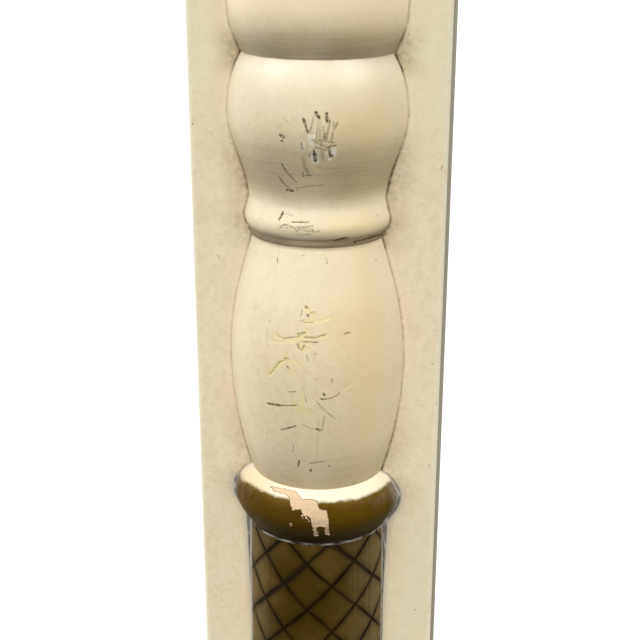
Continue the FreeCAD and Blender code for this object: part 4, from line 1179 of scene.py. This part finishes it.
def make_board_paint(name, level, inner_edge, outer_edge, column_half, marked=False):
    """Cream paint on a board: toning and painted shade beside its column, painted shade on its
    outer sides, rubbed along its edges with a painted highlight there, bare behind.
    """
    tints = colours()
    recipe = Finish(name, Specular_IOR_Level=0.2, Coat_Roughness=0.3)
    place = recipe.place()
    x, y, z = place.parts()
    across, along = (z, x) if level else (x, z)
    middle = (inner_edge + outer_edge) / 2
    reach = abs(across)
    film = recipe.use(
        "Paint film", Place=place, Colour=tints.board, Shade=tints.warm_cream, Amount=0.7)
    cast = place.noise(11.0, 2.0).eased(0.4, 0.62)
    colour = (cast * 0.55).mix(film["Colour"], (0.735, 0.695, 0.505))
    stretched = recipe.whole(across, y, along * 0.05)
    brushed = stretched.noise(700.0, 3.0, 0.6)
    colour = (brushed.eased(0.5, 0.8) * 0.16).mix(colour, tints.warm_cream)
    if column_half:
        colour = shaded_and_soiled_beside_column(recipe, place, colour, reach - middle, along, column_half)
    specks = recipe.use("Specks", Place=place, Size=0.0028, Amount=0.03)["Mask"]
    colour = (specks * 0.6).mix(colour, (0.3, 0.23, 0.14))
    front = y - FRONT_Y
    rubbed_and_lit_edges = 0.0
    chipped = 0.0
    for edge in (inner_edge, outer_edge):
        arris = recipe.use(
            "Worn arris", Place=place, Across=reach, Edge=edge, Front=front, Reach=0.0017)
        rubbed_and_lit_edges = rubbed_and_lit_edges | arris["Mask"]
        chipped = chipped | arris["Chips"]
    # Lighter along the eased edges: rubbed paint and a painted highlight on the edge
    colour = (rubbed_and_lit_edges * 0.65).mix(colour, (0.84, 0.79, 0.63))
    colour = chipped.mix(colour, (0.8, 0.66, 0.46))
    height = film["Height"] * 0.25 + brushed * 0.35
    if marked:
        point = recipe.whole((across - middle) * METRE_MM, along * METRE_MM)
        pale = drawn_marks(recipe, point, BOARD_PALE_MARKS_MM)
        dark = drawn_marks(recipe, point, BOARD_DARK_MARKS_MM)
        colour = pale.mix(colour, (0.88, 0.83, 0.66))
        colour = dark.mix(colour, (0.1, 0.075, 0.04))
        height = height - dark
    # Painted shade on the outer side faces, a little lighter towards the back
    side = front.eased(0.0008, 0.0024)
    side_mottle = recipe.whole(across, y, along * 0.2).noise(90.0, 4.0)
    side_shade_colour = side_mottle.eased(0.35, 0.7).mix((0.135, 0.115, 0.075), (0.215, 0.19, 0.13))
    side_shade_colour = front.eased(0.01, 0.036, 0.0, 0.6).mix(side_shade_colour, (0.26, 0.25, 0.215))
    colour = (side * 0.9).mix(colour, side_shade_colour)
    grain_place = recipe.whole(across, y, along * 0.06)
    wood = recipe.use("Wood grain", Place=grain_place, Scale=70.0)
    hidden = y.eased(-0.0006, -0.0003)
    inner = front.eased(0.0118, 0.0126) * recipe.math("LESS_THAN", reach, outer_edge - 0.002)
    bare = hidden | inner
    colour = bare.mix(colour, wood["Colour"])
    recipe.feed(Base_Color=colour, Roughness=film["Roughness"] + (bare * 0.3 | side * 0.55))
    recipe.bump(height - chipped * 2.0 + wood["Height"] * bare, 0.45, 0.00012)
    return recipe.material


def shaded_and_soiled_beside_column(recipe, place, colour, aside, along, column_half):
    """Toning and painted shade beside a column, a painted contact shadow along it, and by its
    shafts a soft painted shadow and dark and silver lines.
    """
    outside = recipe.use("Column distance", Across=aside, Along=along, End=column_half)["Distance"]
    along_mm = abs(along) * METRE_MM
    sunk = creases(along_mm, BOARD_ROWS)
    near = place.noise(520.0, 5.0, 0.75)
    uneven = near.spread(0.32, 0.66, 0.3)
    blush = outside.eased(0.009, 0.0015, 0.0, 0.42) * place.noise(60.0, 3.0).eased(0.42, 0.62)
    colour = blush.mix(colour, (0.76, 0.585, 0.4))
    # Painted shade with toning round the column, deepest in its hollows
    shade_and_toning_halo = outside.eased(0.01, -0.001) * recipe.math("MULTIPLY_ADD", sunk, 1.1, 0.12).clamped()
    colour = (shade_and_toning_halo * uneven).mix(colour, (0.24, 0.18, 0.1))
    # A thin dark line along the joint, deeper in the hollows and on the right: painted contact
    # shadow
    line = outside.eased(0.0011, 0.0002) * recipe.math("MULTIPLY_ADD", sunk, 0.9, 0.4)
    line = (line * aside.spread(-0.015, 0.015, 0.85, 1.3)).clamped()
    colour = (line * near.spread(0.38, 0.6, 0.5, 0.95)).mix(colour, (0.06, 0.034, 0.01))
    dust = recipe.use("Specks", Place=place, Size=0.0011, Amount=0.45)["Mask"]
    colour = (dust * outside.eased(0.009, 0.001, 0.0, 0.65)).mix(colour, (0.26, 0.19, 0.11))
    by_shaft = along_mm.eased(COLLAR_START_MM + 3.0, COLLAR_START_MM + 7.0)
    # A soft painted shadow beside the shafts
    soft = outside.eased(0.0034, 0.0006) * by_shaft
    colour = (soft * 0.5).mix(colour, (0.36, 0.345, 0.31))
    streaked = recipe.whole(aside, along * 0.2).noise(900.0, 3.0, 0.7)
    lined = outside.eased(0.0014, 0.0008) * by_shaft
    greys = streaked.eased(0.5, 0.64).mix((0.1, 0.098, 0.09), (0.42, 0.41, 0.38))
    return (lined * 0.85).mix(colour, greys)


def chipped_to_gesso(place, fine, depth, colour):
    """Crazed bare gesso in the chips, with a dark rim round each."""
    bare = (fine.eased(0.4, 0.8) * 0.5).mix(colours().chip, (0.47, 0.32, 0.18))
    bare = place.cracks(430.0).eased(0.04, 0.0, 0.0, 0.3).mix(bare, (0.34, 0.22, 0.12))
    colour = depth.eased(0.05, 0.35).mix(colour, (0.1, 0.07, 0.04))
    return depth.eased(0.35, 0.6).mix(colour, bare)


def make_collar_gilt(name):
    """A collar: pale band by the barrel, antique gilt with painted highlights and painted shade,
    silver lines and bare chips.
    """
    tints = colours()
    recipe = Finish(name, Specular_IOR_Level=0.012, Coat_Roughness=0.35)
    place = recipe.place()
    y = place.parts()[1]
    around, along = recipe.turning_place()
    past = abs(along) - COLLAR_START_MM
    cloud = place.noise(75.0, 3.0)
    fine = place.noise(520.0, 4.0, 0.65)
    # Golden towards the right: the gilt's tone and a painted highlight
    golden_tone_and_highlight = abs(around - 17.0).eased(17.0, 3.0) * cloud.spread(0.3, 0.7, 0.35)
    colour = golden_tone_and_highlight.mix(tints.gilt, (0.095, 0.052, 0.0005))
    ruddy = around.eased(-12.0, -26.0) * cloud.eased(0.4, 0.65)
    colour = ruddy.mix(colour, (0.115, 0.06, 0.012))
    # Brighter in patches near the barrel: rubbed gilt and a painted highlight on the upper slope
    rubbed = cloud.eased(0.4, 0.75) * past.eased(7.0, 2.5, 0.05, 0.6)
    colour = rubbed.mix(colour, tints.bright_gilt)
    colour = (fine.eased(0.52, 0.75) * 0.45).mix(colour, (0.03, 0.018, 0.003))
    # Darker towards the foot: painted shade of the lower slope
    colour = past.eased(7.5, 15.0, 0.0, 0.85).mix(colour, (0.026, 0.015, 0.001))
    streaks = recipe.whole(around * 0.5, past * 0.3).noise(0.8, 4.0, 0.7)
    sheen = abs(around).eased(13.0, 30.0) * streaks.eased(0.36, 0.72) * past.eased(8.5, 2.0)
    colour = (sheen * 0.5).mix(colour, (0.36, 0.29, 0.225))
    rise = FRONT_Y - y
    smear = rise.eased(0.0075, 0.001) * fine.spread(0.3, 0.7, 0.15, 0.85)
    colour = smear.mix(colour, (0.3, 0.265, 0.23))
    waver = recipe.whole(around, 0.0, 4.0).noise(0.1, 2.0, 0.5)
    edge = around.eased(-22.0, -32.0, 2.35, 4.1) + waver.spread(0.3, 0.7, -0.25, 0.25)
    edge = edge + fine.spread(0.3, 0.7, -0.3, 0.3)
    band = past.eased(edge + 0.75, edge - 0.35)
    # Brighter gilt just under the band: painted highlight on the upper slope
    shade = past.eased(edge + 2.6, edge)
    colour = (shade * 0.55).mix(colour, tints.bright_gilt)
    dirt = fine.eased(0.5, 0.8) * 0.4
    pale = dirt.mix(tints.band, tints.warm_cream)
    pale = around.eased(-5.0, -19.0, 0.0, 0.9).mix(pale, (0.6, 0.5, 0.34))
    faded = band * past.eased(4.5, 2.5, 0.55)
    colour = faded.mix(colour, (smear * 0.5).mix(pale, (0.52, 0.47, 0.42)))
    to_foot = COLLAR_LENGTH_MM - past
    patchy = recipe.whole(around * 0.35, to_foot, 8.0).noise(0.5, 3.0).eased(0.38, 0.58)
    dark_line = abs(to_foot - 1.7).eased(0.8, 0.2)
    colour = (dark_line * 0.8).mix(colour, (0.014, 0.011, 0.006))
    foot = to_foot.eased(1.15, 0.6) * patchy
    rim = rise.eased(0.0013, 0.0006)
    line = foot | rim * fine.spread(0.3, 0.6, 0.45)
    colour = line.mix(colour, (0.41, 0.395, 0.36))
    depth = recipe.results(
        "ShaderNodeAttribute", attribute_type="GEOMETRY", attribute_name=CHIP_ATTRIBUTE)["Fac"]
    colour = chipped_to_gesso(place, fine, depth, colour)
    matt = depth.eased(0.2, 0.6) | band * 0.3
    recipe.feed(
        Base_Color=colour, Roughness=fine.spread(0.3, 0.7, 0.3, 0.48) + matt * 0.35,
        Coat_Weight=depth.eased(0.4, 0.1, 0.0, 0.04))
    recipe.bump(fine * 0.5 + band, 0.4, 0.00015)
    return recipe.material


def make_gilding(name):
    """Antique gilt on rosettes and bead: dark in the hollows, rubbed bright on top."""
    tints = colours()
    recipe = Finish(name, Metallic=0.35, Coat_Weight=0.2, Coat_Roughness=0.15)
    place = recipe.place()
    y = place.parts()[1]
    fine = place.noise(420.0, 4.0, 0.65)
    cloud = place.noise(90.0, 3.0)
    proud = y.eased(MID_BEAD_LOW.y + 0.006, MID_BEAD_LOW.y - 0.002)
    rosette_low, rosette_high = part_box("rosette_top_left")
    block = recipe.math("LESS_THAN", y, rosette_high.y + 0.001)
    high = y.eased(rosette_high.y - 0.003, rosette_low.y + 0.001)
    lifted = block * high + (1.0 - block) * proud
    amount = lifted * cloud.spread(0.3, 0.7, 0.4)
    colour = amount.mix(tints.gilt, tints.bright_gilt)
    colour = (fine.eased(0.5, 0.75) * 0.4).mix(colour, (0.04, 0.025, 0.008))
    flaked = place.noise(150.0, 5.0, 0.7).eased(0.66, 0.69)
    colour = flaked.mix(colour, (0.5, 0.3, 0.17))
    recipe.feed(Base_Color=colour, Roughness=fine.spread(0.3, 0.7, 0.26, 0.46))
    recipe.bump(fine - flaked, 0.4, 0.00015)
    return recipe.material


# A crossing of the lattice, in mm round from the front and from the column's centre
LATTICE_AROUND_MM = 8.4
LATTICE_ALONG_MM = 178.1


def make_lattice_paint(name, marked):
    """The shafts: bronze ground, brushed lattice, silver and dark lines at the joint."""
    tints = colours()
    sizes = bpy.context.scene.mirror_lattice
    recipe = Finish(name, Specular_IOR_Level=0.012)
    place = recipe.place()
    y = place.parts()[1]
    around, along = recipe.turning_place()
    drawn = recipe.use(
        "Diamond lines", Around=around - LATTICE_AROUND_MM, Along=abs(along) - LATTICE_ALONG_MM,
        Wide=sizes.diamond_width, Tall=sizes.diamond_height, Line=sizes.line_width, Waver=2.4)
    streaked = recipe.whole(around, along * 0.02, 2.0).noise(0.9, 4.0, 0.7)
    cloud = place.noise(60.0, 3.0)
    ground = cloud.eased(0.36, 0.68).mix(tints.bronze, (0.088, 0.056, 0.012))
    side = abs(around).eased(8.0, 30.0)
    greyed = side * streaked.eased(0.3, 0.62, 0.45)
    ground = greyed.mix(ground, (0.168, 0.12, 0.056))
    rust = place.noise(130.0, 4.0, 0.6).eased(0.54, 0.7)
    ground = (rust * 0.5).mix(ground, (0.085, 0.038, 0.005))
    ground = (drawn["Soft"] * 0.38).mix(ground, tints.lattice)
    colour = drawn["Lines"].mix(ground, tints.lattice)
    if marked:
        smudged = drawn_marks(recipe, recipe.whole(around, along), SMUDGES_MM)
        colour = (smudged * streaked.spread(0.3, 0.7, 0.6)).mix(colour, (0.014, 0.01, 0.006))
    rise = FRONT_Y - y
    fine = place.noise(600.0, 4.0, 0.7)
    edge = rise + fine.spread(0.3, 0.7, -0.0003, 0.0003)
    silver = ((edge * around.eased(-10.0, 10.0, 0.46, 1.0)).eased(0.0024, 0.0014)
              * edge.eased(0.0001, 0.0005))
    silver = silver * (fine.spread(0.3, 0.6, 0.35) * around.eased(10.0, 20.0, 1.0, 0.6))
    colour = silver.mix(colour, tints.silver)
    joint = rise.eased(0.0006, 0.0002)
    colour = joint.mix(colour, (0.03, 0.024, 0.018))
    recipe.feed(Base_Color=colour, Roughness=streaked.spread(0.3, 0.7, 0.34, 0.5))
    recipe.bump(streaked * 0.5 + drawn["Lines"], 0.4, 0.0001)
    return recipe.material


def make_silvered_glass():
    """The mirror plate, clean but for foxing along its lower edge."""
    recipe = Finish("Silvered glass", Metallic=1.0)
    place = recipe.place()
    z = place.parts()[2]
    low = z.eased(-SIGHT_Z + 0.035, -SIGHT_Z)
    foxed = (place.noise(120.0, 5.0, 0.7) + low * 0.22).eased(0.66, 0.9) * low * 0.7
    colour = foxed.mix((0.98, 0.985, 0.98), (0.16, 0.14, 0.12))
    recipe.feed(Base_Color=colour, Roughness=foxed.spread(0.0, 1.0, 0.012, 0.5))
    return recipe.material


# Gold lines on the tablet, in metres: the distance in from the sight edge or out from the
# oval's edge, then the width
BORDER_LINES = ((0.0065, 0.0016), (0.0088, 0.0006), (0.0238, 0.0006), (0.0262, 0.0016))
PATERA_LINES = ((0.0, 0.0020), (-0.0035, 0.0006))
BORDER_WIDTH = 0.0265
LINE_SOFT = 0.0002
PETALS = 12.0
SWAG_MIDDLE = 0.158
SWAG_HALF = 0.056
FLOWER_RADIUS = 0.0075


def ruled_lines(gold, distance, lines, soft=LINE_SOFT):
    """Adds gold lines, each at its distance and with its width."""
    for at, width in lines:
        gold = gold | abs(distance - at).eased(width / 2 + soft, width / 2)
    return gold


def gold_patera(recipe, gold, patera):
    """Adds the petals, hub and rings of the oval patera."""
    petals = abs(recipe.math("SINE", patera["Angle"] * PETALS))
    tip = recipe.math("MULTIPLY_ADD", petals, 0.16, 0.7)
    fan = (patera["Share"] - tip).eased(0.012, 0.0) * petals.eased(0.16, 0.26)
    gold = gold | fan * patera["Share"].eased(0.24, 0.25)
    gold = gold | patera["Share"].eased(0.17, 0.16)
    return ruled_lines(gold, patera["Outside"], PATERA_LINES)


def gold_swags(recipe, gold, side, up):
    """Adds a beaded swag on each side and the flowers at its ends."""
    share = (side - SWAG_MIDDLE) / SWAG_HALF
    sag = recipe.math("MULTIPLY_ADD", share * share, 0.026, -0.018)
    beads = abs(recipe.math("SINE", share * 19.0))
    plump = beads * abs(share).eased(1.0, 0.0, 0.0016, 0.0042)
    swag = abs(up - sag).eased(plump + LINE_SOFT, plump)
    gold = gold | swag * recipe.math("LESS_THAN", abs(share), 1.0)
    for centre_x in (SWAG_MIDDLE - SWAG_HALF, SWAG_MIDDLE + SWAG_HALF):
        knot = recipe.use(
            "Oval", Point=recipe.whole(side, up), Centre=(centre_x, 0.01, 0.0),
            Wide=FLOWER_RADIUS, Tall=FLOWER_RADIUS)
        lobes = abs(recipe.math("SINE", knot["Angle"] * 3.0))
        flower = (knot["Share"] - recipe.math("MULTIPLY_ADD", lobes, 0.42, 0.58)).eased(0.03, 0.0)
        gold = gold | flower * recipe.math("GREATER_THAN", knot["Share"], 0.22)
    return gold


def make_tablet_glass():
    """Glass painted and gilded on its back: lattice border, oval patera and swags."""
    recipe = Finish(
        "Reverse painted glass", Coat_Weight=1.0, Coat_Roughness=0.02, Specular_IOR_Level=0.3)
    place = recipe.place()
    x, z = place.parts()[::2]
    up = z - TABLET_CENTRE_Z
    inset = recipe.math(
        "MINIMUM", SIGHT_X - abs(x), (SIGHT_Z - TABLET_CENTRE_Z) - abs(up))
    field = place.noise(30.0, 4.0).eased(0.35, 0.75).mix((0.62, 0.6, 0.5), (0.52, 0.47, 0.35))
    border = inset.eased(BORDER_WIDTH, BORDER_WIDTH - 0.0005)
    colour = border.mix(field, (0.012, 0.028, 0.030))
    lattice = recipe.use(
        "Diamond lines", Around=x * METRE_MM, Along=up * METRE_MM, Wide=11.0, Tall=11.0,
        Line=0.9, Waver=0.3)
    gold = lattice["Lines"] * (inset.eased(0.0085, 0.009) * inset.eased(0.024, 0.0235))
    gold = ruled_lines(gold, inset, BORDER_LINES, LINE_SOFT / 2)
    patera = recipe.use(
        "Oval", Point=recipe.whole(x, up), Centre=(0.0, 0.0, 0.0), Wide=0.084, Tall=0.05)
    colour = patera["Outside"].eased(LINE_SOFT, -LINE_SOFT).mix(colour, (0.02, 0.075, 0.065))
    gold = gold_swags(recipe, gold_patera(recipe, gold, patera), abs(x), up)
    gold = gold * (1.0 - place.noise(480.0, 5.0, 0.75).eased(0.68, 0.72))
    leaf = place.noise(260.0, 4.0).eased(0.4, 0.7).mix((0.78, 0.52, 0.17), (0.6, 0.38, 0.12))
    cracked = place.cracks(190.0).eased(0.012, 0.004)
    colour = (cracked * 0.35).mix(gold.mix(colour, leaf), (0.08, 0.06, 0.04))
    recipe.feed(
        Base_Color=colour, Metallic=gold * 0.75, Roughness=gold.spread(0.0, 1.0, 0.5, 0.28))
    return recipe.material


def make_wood(name, along, pale, dark, scale, stretch=0.05):
    """Bare wood whose grain runs along one axis."""
    recipe = Finish(name, Specular_IOR_Level=0.3)
    place = recipe.place()
    coordinates = list(place.parts())
    index = "XYZ".index(along)
    coordinates[index] = coordinates[index] * stretch
    grain_place = recipe.whole(*coordinates)
    wood = recipe.use("Wood grain", Place=grain_place, Pale=pale, Dark=dark, Scale=scale)
    stain = place.noise(9.0, 4.0, 0.6).eased(0.45, 0.75) * 0.4
    colour = stain.mix(wood["Colour"], dark)
    specks = recipe.use("Specks", Place=place, Size=0.011, Amount=0.12)["Mask"]
    colour = (specks * 0.6).mix(colour, (0.09, 0.06, 0.04))
    recipe.feed(Base_Color=colour, Roughness=wood["Height"].spread(0.0, 1.0, 0.75, 0.6))
    recipe.bump(wood["Height"], 0.4, 0.0002)
    return recipe.material


def make_card():
    """Grey pulp card with flecks."""
    recipe = Finish("Grey card", Specular_IOR_Level=0.2)
    place = recipe.place()
    fibre = place.noise(900.0, 4.0, 0.7)
    cloud = place.noise(40.0, 3.0)
    colour = fibre.eased(0.4, 0.7).mix((0.34, 0.33, 0.31), (0.24, 0.23, 0.21))
    colour = (cloud * 0.3).mix(colour, (0.3, 0.25, 0.18))
    recipe.feed(Base_Color=colour, Roughness=cloud.spread(0.0, 1.0, 0.8, 0.95))
    recipe.bump(fibre, 0.3, 0.0001)
    return recipe.material


def make_steel(name, bright, dull, tarnish):
    """Plated steel with fine scratches and tarnish."""
    recipe = Finish(name, Metallic=1.0)
    place = recipe.place()
    fine = place.noise(1400.0, 4.0, 0.7)
    cloud = place.noise(240.0, 4.0, 0.6)
    x, y, z = place.parts()
    scored = recipe.whole(x, y, z * 0.06).noise(3200.0, 2.0)
    colour = cloud.eased(0.35, 0.7).mix(bright, dull)
    colour = (fine.eased(0.62, 0.72) * tarnish).mix(colour, (0.12, 0.07, 0.04))
    recipe.feed(Base_Color=colour, Roughness=scored.spread(0.3, 0.7, 0.24, 0.42))
    recipe.bump(scored, 0.25, 5e-05)
    return recipe.material


def dress(material, *nodes):
    """Gives CAD nodes their material."""
    for node in nodes:
        mesh = NODES[node].data
        mesh.materials.clear()
        mesh.materials.append(material)
        for face in mesh.polygons:
            face.material_index = 0


SIDES = ("left", "right")
CORNERS = ("top_left", "top_right", "bottom_left", "bottom_right")


# Operators


class MIRROR_OT_mix_recipes(bpy.types.Operator):
    """Make the node groups that several finishes share"""

    bl_idname = "mirror.mix_recipes"
    bl_label = "Mix shared recipes"

    def execute(self, context):
        for build in (
                group_paint_film, group_specks, group_stroke, group_turning_lines,
                group_worn_arris, group_diamond_lines, group_wood_grain,
                group_column_distance, group_oval):
            build()
        return {"FINISHED"}


class MIRROR_OT_paint_boards(bpy.types.Operator):
    """Paint the stiles, rails, mid rail and corner blocks"""

    bl_idname = "mirror.paint_boards"
    bl_label = "Paint boards"

    def execute(self, context):
        upright = (False, SIGHT_X, OUTER_X, UPRIGHT_HALF)
        dress(make_board_paint("Cream paint upright", *upright), "left_stile")
        dress(make_board_paint("Cream paint scratched", *upright, marked=True), "right_stile")
        dress(make_board_paint("Cream paint level", True, SIGHT_Z, OUTER_Z, LEVEL_HALF),
              "top_rail", "bottom_rail")
        dress(make_board_paint(
            "Cream paint slim", True, MID_RAIL_LOW.z, MID_RAIL_HIGH.z, 0.0), "mid_rail")
        dress(make_board_paint("Cream paint block", False, SIGHT_X, OUTER_X, 0.0),
              *("corner_block_" + corner for corner in CORNERS))
        return {"FINISHED"}


class MIRROR_OT_turn_balusters(bpy.types.Operator):
    """Turn the middle of each split column"""

    bl_idname = "mirror.turn_balusters"
    bl_label = "Turn balusters"

    def execute(self, context):
        plain = make_turned_paint("Turned cream paint", False)
        marked = make_turned_paint("Turned cream paint scratched", True)
        runs = towards(outer_runs_mm(), -1) + [bulb_run_mm()] + outer_runs_mm()
        for column in COLUMNS:
            add_turning(
                turned_shape(runs), column, column + "_baluster",
                marked if column == "right" else plain)
        return {"FINISHED"}


class MIRROR_OT_turn_collars(bpy.types.Operator):
    """Turn, gild and chip the cushion collars"""

    bl_idname = "mirror.turn_collars"
    bl_label = "Turn collars"

    def execute(self, context):
        gilt = make_collar_gilt("Collar gilt")
        noise.seed_set(CHIP_SEED)
        for seed, (column, node, outwards) in enumerate(column_ends("_collar_"), 1):
            close = node == "right_collar_lower"
            shape = turned_shape(
                towards([collar_run_mm()], outwards),
                CLOSE_COLLAR_SPACING_MM if close else COLLAR_SPACING_MM,
                CLOSE_COLLAR_STEPS if close else COLLAR_STEPS)
            chip_collar(shape, outwards, close_chips if close else scattered_chips(seed))
            add_turning(shape, column, node, gilt)
        return {"FINISHED"}


class MIRROR_OT_turn_shafts(bpy.types.Operator):
    """Turn the shafts and paint their lattice"""

    bl_idname = "mirror.turn_shafts"
    bl_label = "Turn shafts"

    def execute(self, context):
        plain = make_lattice_paint("Bronze lattice paint", False)
        marked = make_lattice_paint("Bronze lattice paint smudged", True)
        for column, node, outwards in column_ends("_shaft_"):
            half = LEVEL_HALF if COLUMNS[column] == LEVEL_ENDS else UPRIGHT_HALF
            shape = turned_shape(
                towards(shaft_runs_mm(half / MM), outwards), SHAFT_SPACING_MM)
            add_turning(
                shape, column, node, marked if node == "right_shaft_lower" else plain)
        return {"FINISHED"}


class MIRROR_OT_gild_ornament(bpy.types.Operator):
    """Gild the rosettes and the bead on the mid rail"""

    bl_idname = "mirror.gild_ornament"
    bl_label = "Gild rosettes and bead"

    def execute(self, context):
        dress(make_gilding("Antique gilding"), "mid_bead",
              *("rosette_" + corner for corner in CORNERS))
        return {"FINISHED"}


class MIRROR_OT_fit_glass(bpy.types.Operator):
    """Silver the mirror plate and paint the tablet"""

    bl_idname = "mirror.fit_glass"
    bl_label = "Fit glass"

    def execute(self, context):
        dress(make_silvered_glass(), "mirror_plate")
        dress(make_tablet_glass(), "tablet_glass")
        return {"FINISHED"}


class MIRROR_OT_close_back(bpy.types.Operator):
    """Finish the strips, cards, backboard and its screws"""

    bl_idname = "mirror.close_back"
    bl_label = "Close back"

    def execute(self, context):
        pine = ((0.62, 0.44, 0.25), (0.40, 0.24, 0.12), 90.0)
        upright = make_wood("Pine upright", "Z", *pine)
        level = make_wood("Pine level", "X", *pine)
        ply = make_wood(
            "Plywood", "Z", (0.54, 0.38, 0.22), (0.36, 0.23, 0.12), 26.0, 0.07)
        card = make_card()
        for pane in ("tablet", "mirror"):
            dress(upright, *(pane + "_strip_" + edge for edge in SIDES))
            dress(level, *(pane + "_strip_" + edge for edge in ("top", "bottom")))
            dress(card, pane + "_card")
        dress(ply, "backboard")
        dress(make_steel("Screw steel", (0.34, 0.325, 0.295), (0.19, 0.175, 0.155), 0.7),
              "backboard_screws")
        return {"FINISHED"}


class MIRROR_OT_hang_rings(bpy.types.Operator):
    """Finish the ring hangers"""

    bl_idname = "mirror.hang_rings"
    bl_label = "Finish hangers"

    def execute(self, context):
        plated = make_steel("Hanger steel", (0.40, 0.39, 0.365), (0.24, 0.235, 0.22), 0.5)
        for side in SIDES:
            dress(plated, "hanger_strap_" + side, "hanger_ring_" + side)
        dress(bpy.data.materials["Screw steel"], "hanger_screws")
        return {"FINISHED"}


# The stage


FLOOR_HALF = 30.0
FLOOR_DROP = 0.0005
LAMP_SPREAD = math.radians(34)

# Each lamp: degrees to the right of straight in front, degrees up, share of the strength,
# and whether it casts shadows; the two at the sides only fill, the last lights the back
LAMPS = {
    "lamp_middle": (-6.0, 57.0, 0.6, True),
    "fill_left": (-60.0, 38.0, 1.0, False),
    "fill_right": (60.0, 38.0, 1.0, False),
    "lamp_back": (168.0, 24.0, 1.1, True),
}


def backdrop_rays(recipe):
    """1 for the rays that should meet a white background, 0 for those that light."""
    path = recipe.results("ShaderNodeLightPath")
    seen = path["Is Camera Ray"] | path["Is Glossy Ray"]
    return seen | path["Is Transmission Ray"]


def light_world(strength):
    """Even room light, and plain white where the camera, gloss or glass look past."""
    world = bpy.data.worlds.new("Studio")
    bpy.context.scene.world = world
    world.use_nodes = True
    recipe = Recipe(world.node_tree)
    room = recipe.node("ShaderNodeBackground", {"Color": (1.0, 0.985, 0.96), "Strength": strength})
    white = recipe.node("ShaderNodeBackground", {"Color": (1.0, 1.0, 1.0), "Strength": 1.0})
    mixed = recipe.node(
        "ShaderNodeMixShader", {0: backdrop_rays(recipe), 1: room.outputs[0], 2: white.outputs[0]})
    recipe.node("ShaderNodeOutputWorld", {"Surface": mixed.outputs[0]})


def lay_floor():
    """A pale floor just under the frame, which keeps the shadow."""
    shape = bmesh.new()
    bmesh.ops.create_grid(shape, x_segments=8, y_segments=8, size=FLOOR_HALF)
    bmesh.ops.translate(
        shape, verts=shape.verts[:], vec=(0, 0, CAD_BOX[0].z - FLOOR_DROP))
    material = bpy.data.materials.new("Pale floor")
    material.use_nodes = True
    recipe = Recipe(material.node_tree)
    seen = backdrop_rays(recipe)
    matt = recipe.node(
        "ShaderNodeBsdfDiffuse", {"Color": seen.mix((0.07, 0.07, 0.068), (0.62, 0.62, 0.615))})
    glow = recipe.node("ShaderNodeEmission", {"Color": (1.0, 1.0, 1.0), "Strength": seen * 0.28})
    both = recipe.node("ShaderNodeAddShader", {0: matt.outputs[0], 1: glow.outputs[0]})
    recipe.node("ShaderNodeOutputMaterial", {"Surface": both.outputs[0]})
    add_mesh("floor", shape, material)


def hang_lamps(strength):
    """Broad soft lamps, as strong on all of the frame."""
    for name, (turn, rise, share, shadow) in LAMPS.items():
        data = bpy.data.lights.new(name, "SUN")
        data.energy = strength * share
        data.angle = LAMP_SPREAD
        data.use_shadow = shadow
        data.color = (1.0, 0.985, 0.955)
        add_object(name, data).rotation_euler = (
            math.radians(90 - rise), 0.0, math.radians(turn))


def place_camera(stage):
    """The camera at the photograph's viewing angle."""
    data = bpy.data.cameras.new("camera")
    data.sensor_width = 36.0
    data.lens = stage.lens_mm
    data.clip_start = 0.01
    data.clip_end = 200.0
    camera = add_object("camera", data)
    turn = (
        Matrix.Rotation(stage.camera_turn, 4, "Z")
        @ Matrix.Rotation(-stage.camera_tilt, 4, "X")
        @ Matrix.Rotation(stage.camera_roll, 4, "Y")
        @ Matrix.Rotation(math.radians(90), 4, "X"))
    camera.matrix_world = Matrix.Translation(stage.camera_place) @ turn
    bpy.context.scene.camera = camera


class MIRROR_OT_set_stage(bpy.types.Operator):
    """Set the camera, lamps, room light and floor"""

    bl_idname = "mirror.set_stage"
    bl_label = "Set stage"

    def execute(self, context):
        stage = context.scene.mirror_stage
        place_camera(stage)
        light_world(stage.ambient)
        lay_floor()
        hang_lamps(stage.lamp_strength)
        context.scene.view_settings.view_transform = "Standard"
        return {"FINISHED"}


class MIRROR_PT_panel(bpy.types.Panel):
    """Steps of the mirror, in order"""

    bl_idname = "MIRROR_PT_panel"
    bl_label = "Eglomise mirror"
    bl_space_type = "VIEW_3D"
    bl_region_type = "UI"
    bl_category = "Mirror"

    def draw(self, context):
        column = self.layout.column(align=True)
        for operator in OPERATORS:
            column.operator(operator.bl_idname)
        for settings in ("mirror_colours", "mirror_lattice", "mirror_stage"):
            group = getattr(context.scene, settings)
            box = self.layout.box()
            for label in group.bl_rna.properties.keys():
                if label not in ("name", "rna_type"):
                    box.prop(group, label)


OPERATORS = (
    MIRROR_OT_mix_recipes,
    MIRROR_OT_set_stage,
    MIRROR_OT_paint_boards,
    MIRROR_OT_turn_balusters,
    MIRROR_OT_turn_collars,
    MIRROR_OT_turn_shafts,
    MIRROR_OT_gild_ornament,
    MIRROR_OT_fit_glass,
    MIRROR_OT_close_back,
    MIRROR_OT_hang_rings,
)
SETTINGS = {
    "mirror_colours": FinishColours,
    "mirror_lattice": LatticeSizes,
    "mirror_stage": StageSettings,
}


def register():
    """Registers the settings, the operators and the panel."""
    for label, group in SETTINGS.items():
        bpy.utils.register_class(group)
        setattr(bpy.types.Scene, label, PointerProperty(type=group))
    for operator in OPERATORS:
        bpy.utils.register_class(operator)
    bpy.utils.register_class(MIRROR_PT_panel)


def unregister():
    """Takes everything off again."""
    bpy.utils.unregister_class(MIRROR_PT_panel)
    for operator in reversed(OPERATORS):
        bpy.utils.unregister_class(operator)
    for label, group in SETTINGS.items():
        delattr(bpy.types.Scene, label)
        bpy.utils.unregister_class(group)


def main():
    """Registers the add-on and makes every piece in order."""
    register()
    for operator in OPERATORS:
        category, call = operator.bl_idname.split(".")
        getattr(getattr(bpy.ops, category), call)()


if __name__ == "__main__":
    main()
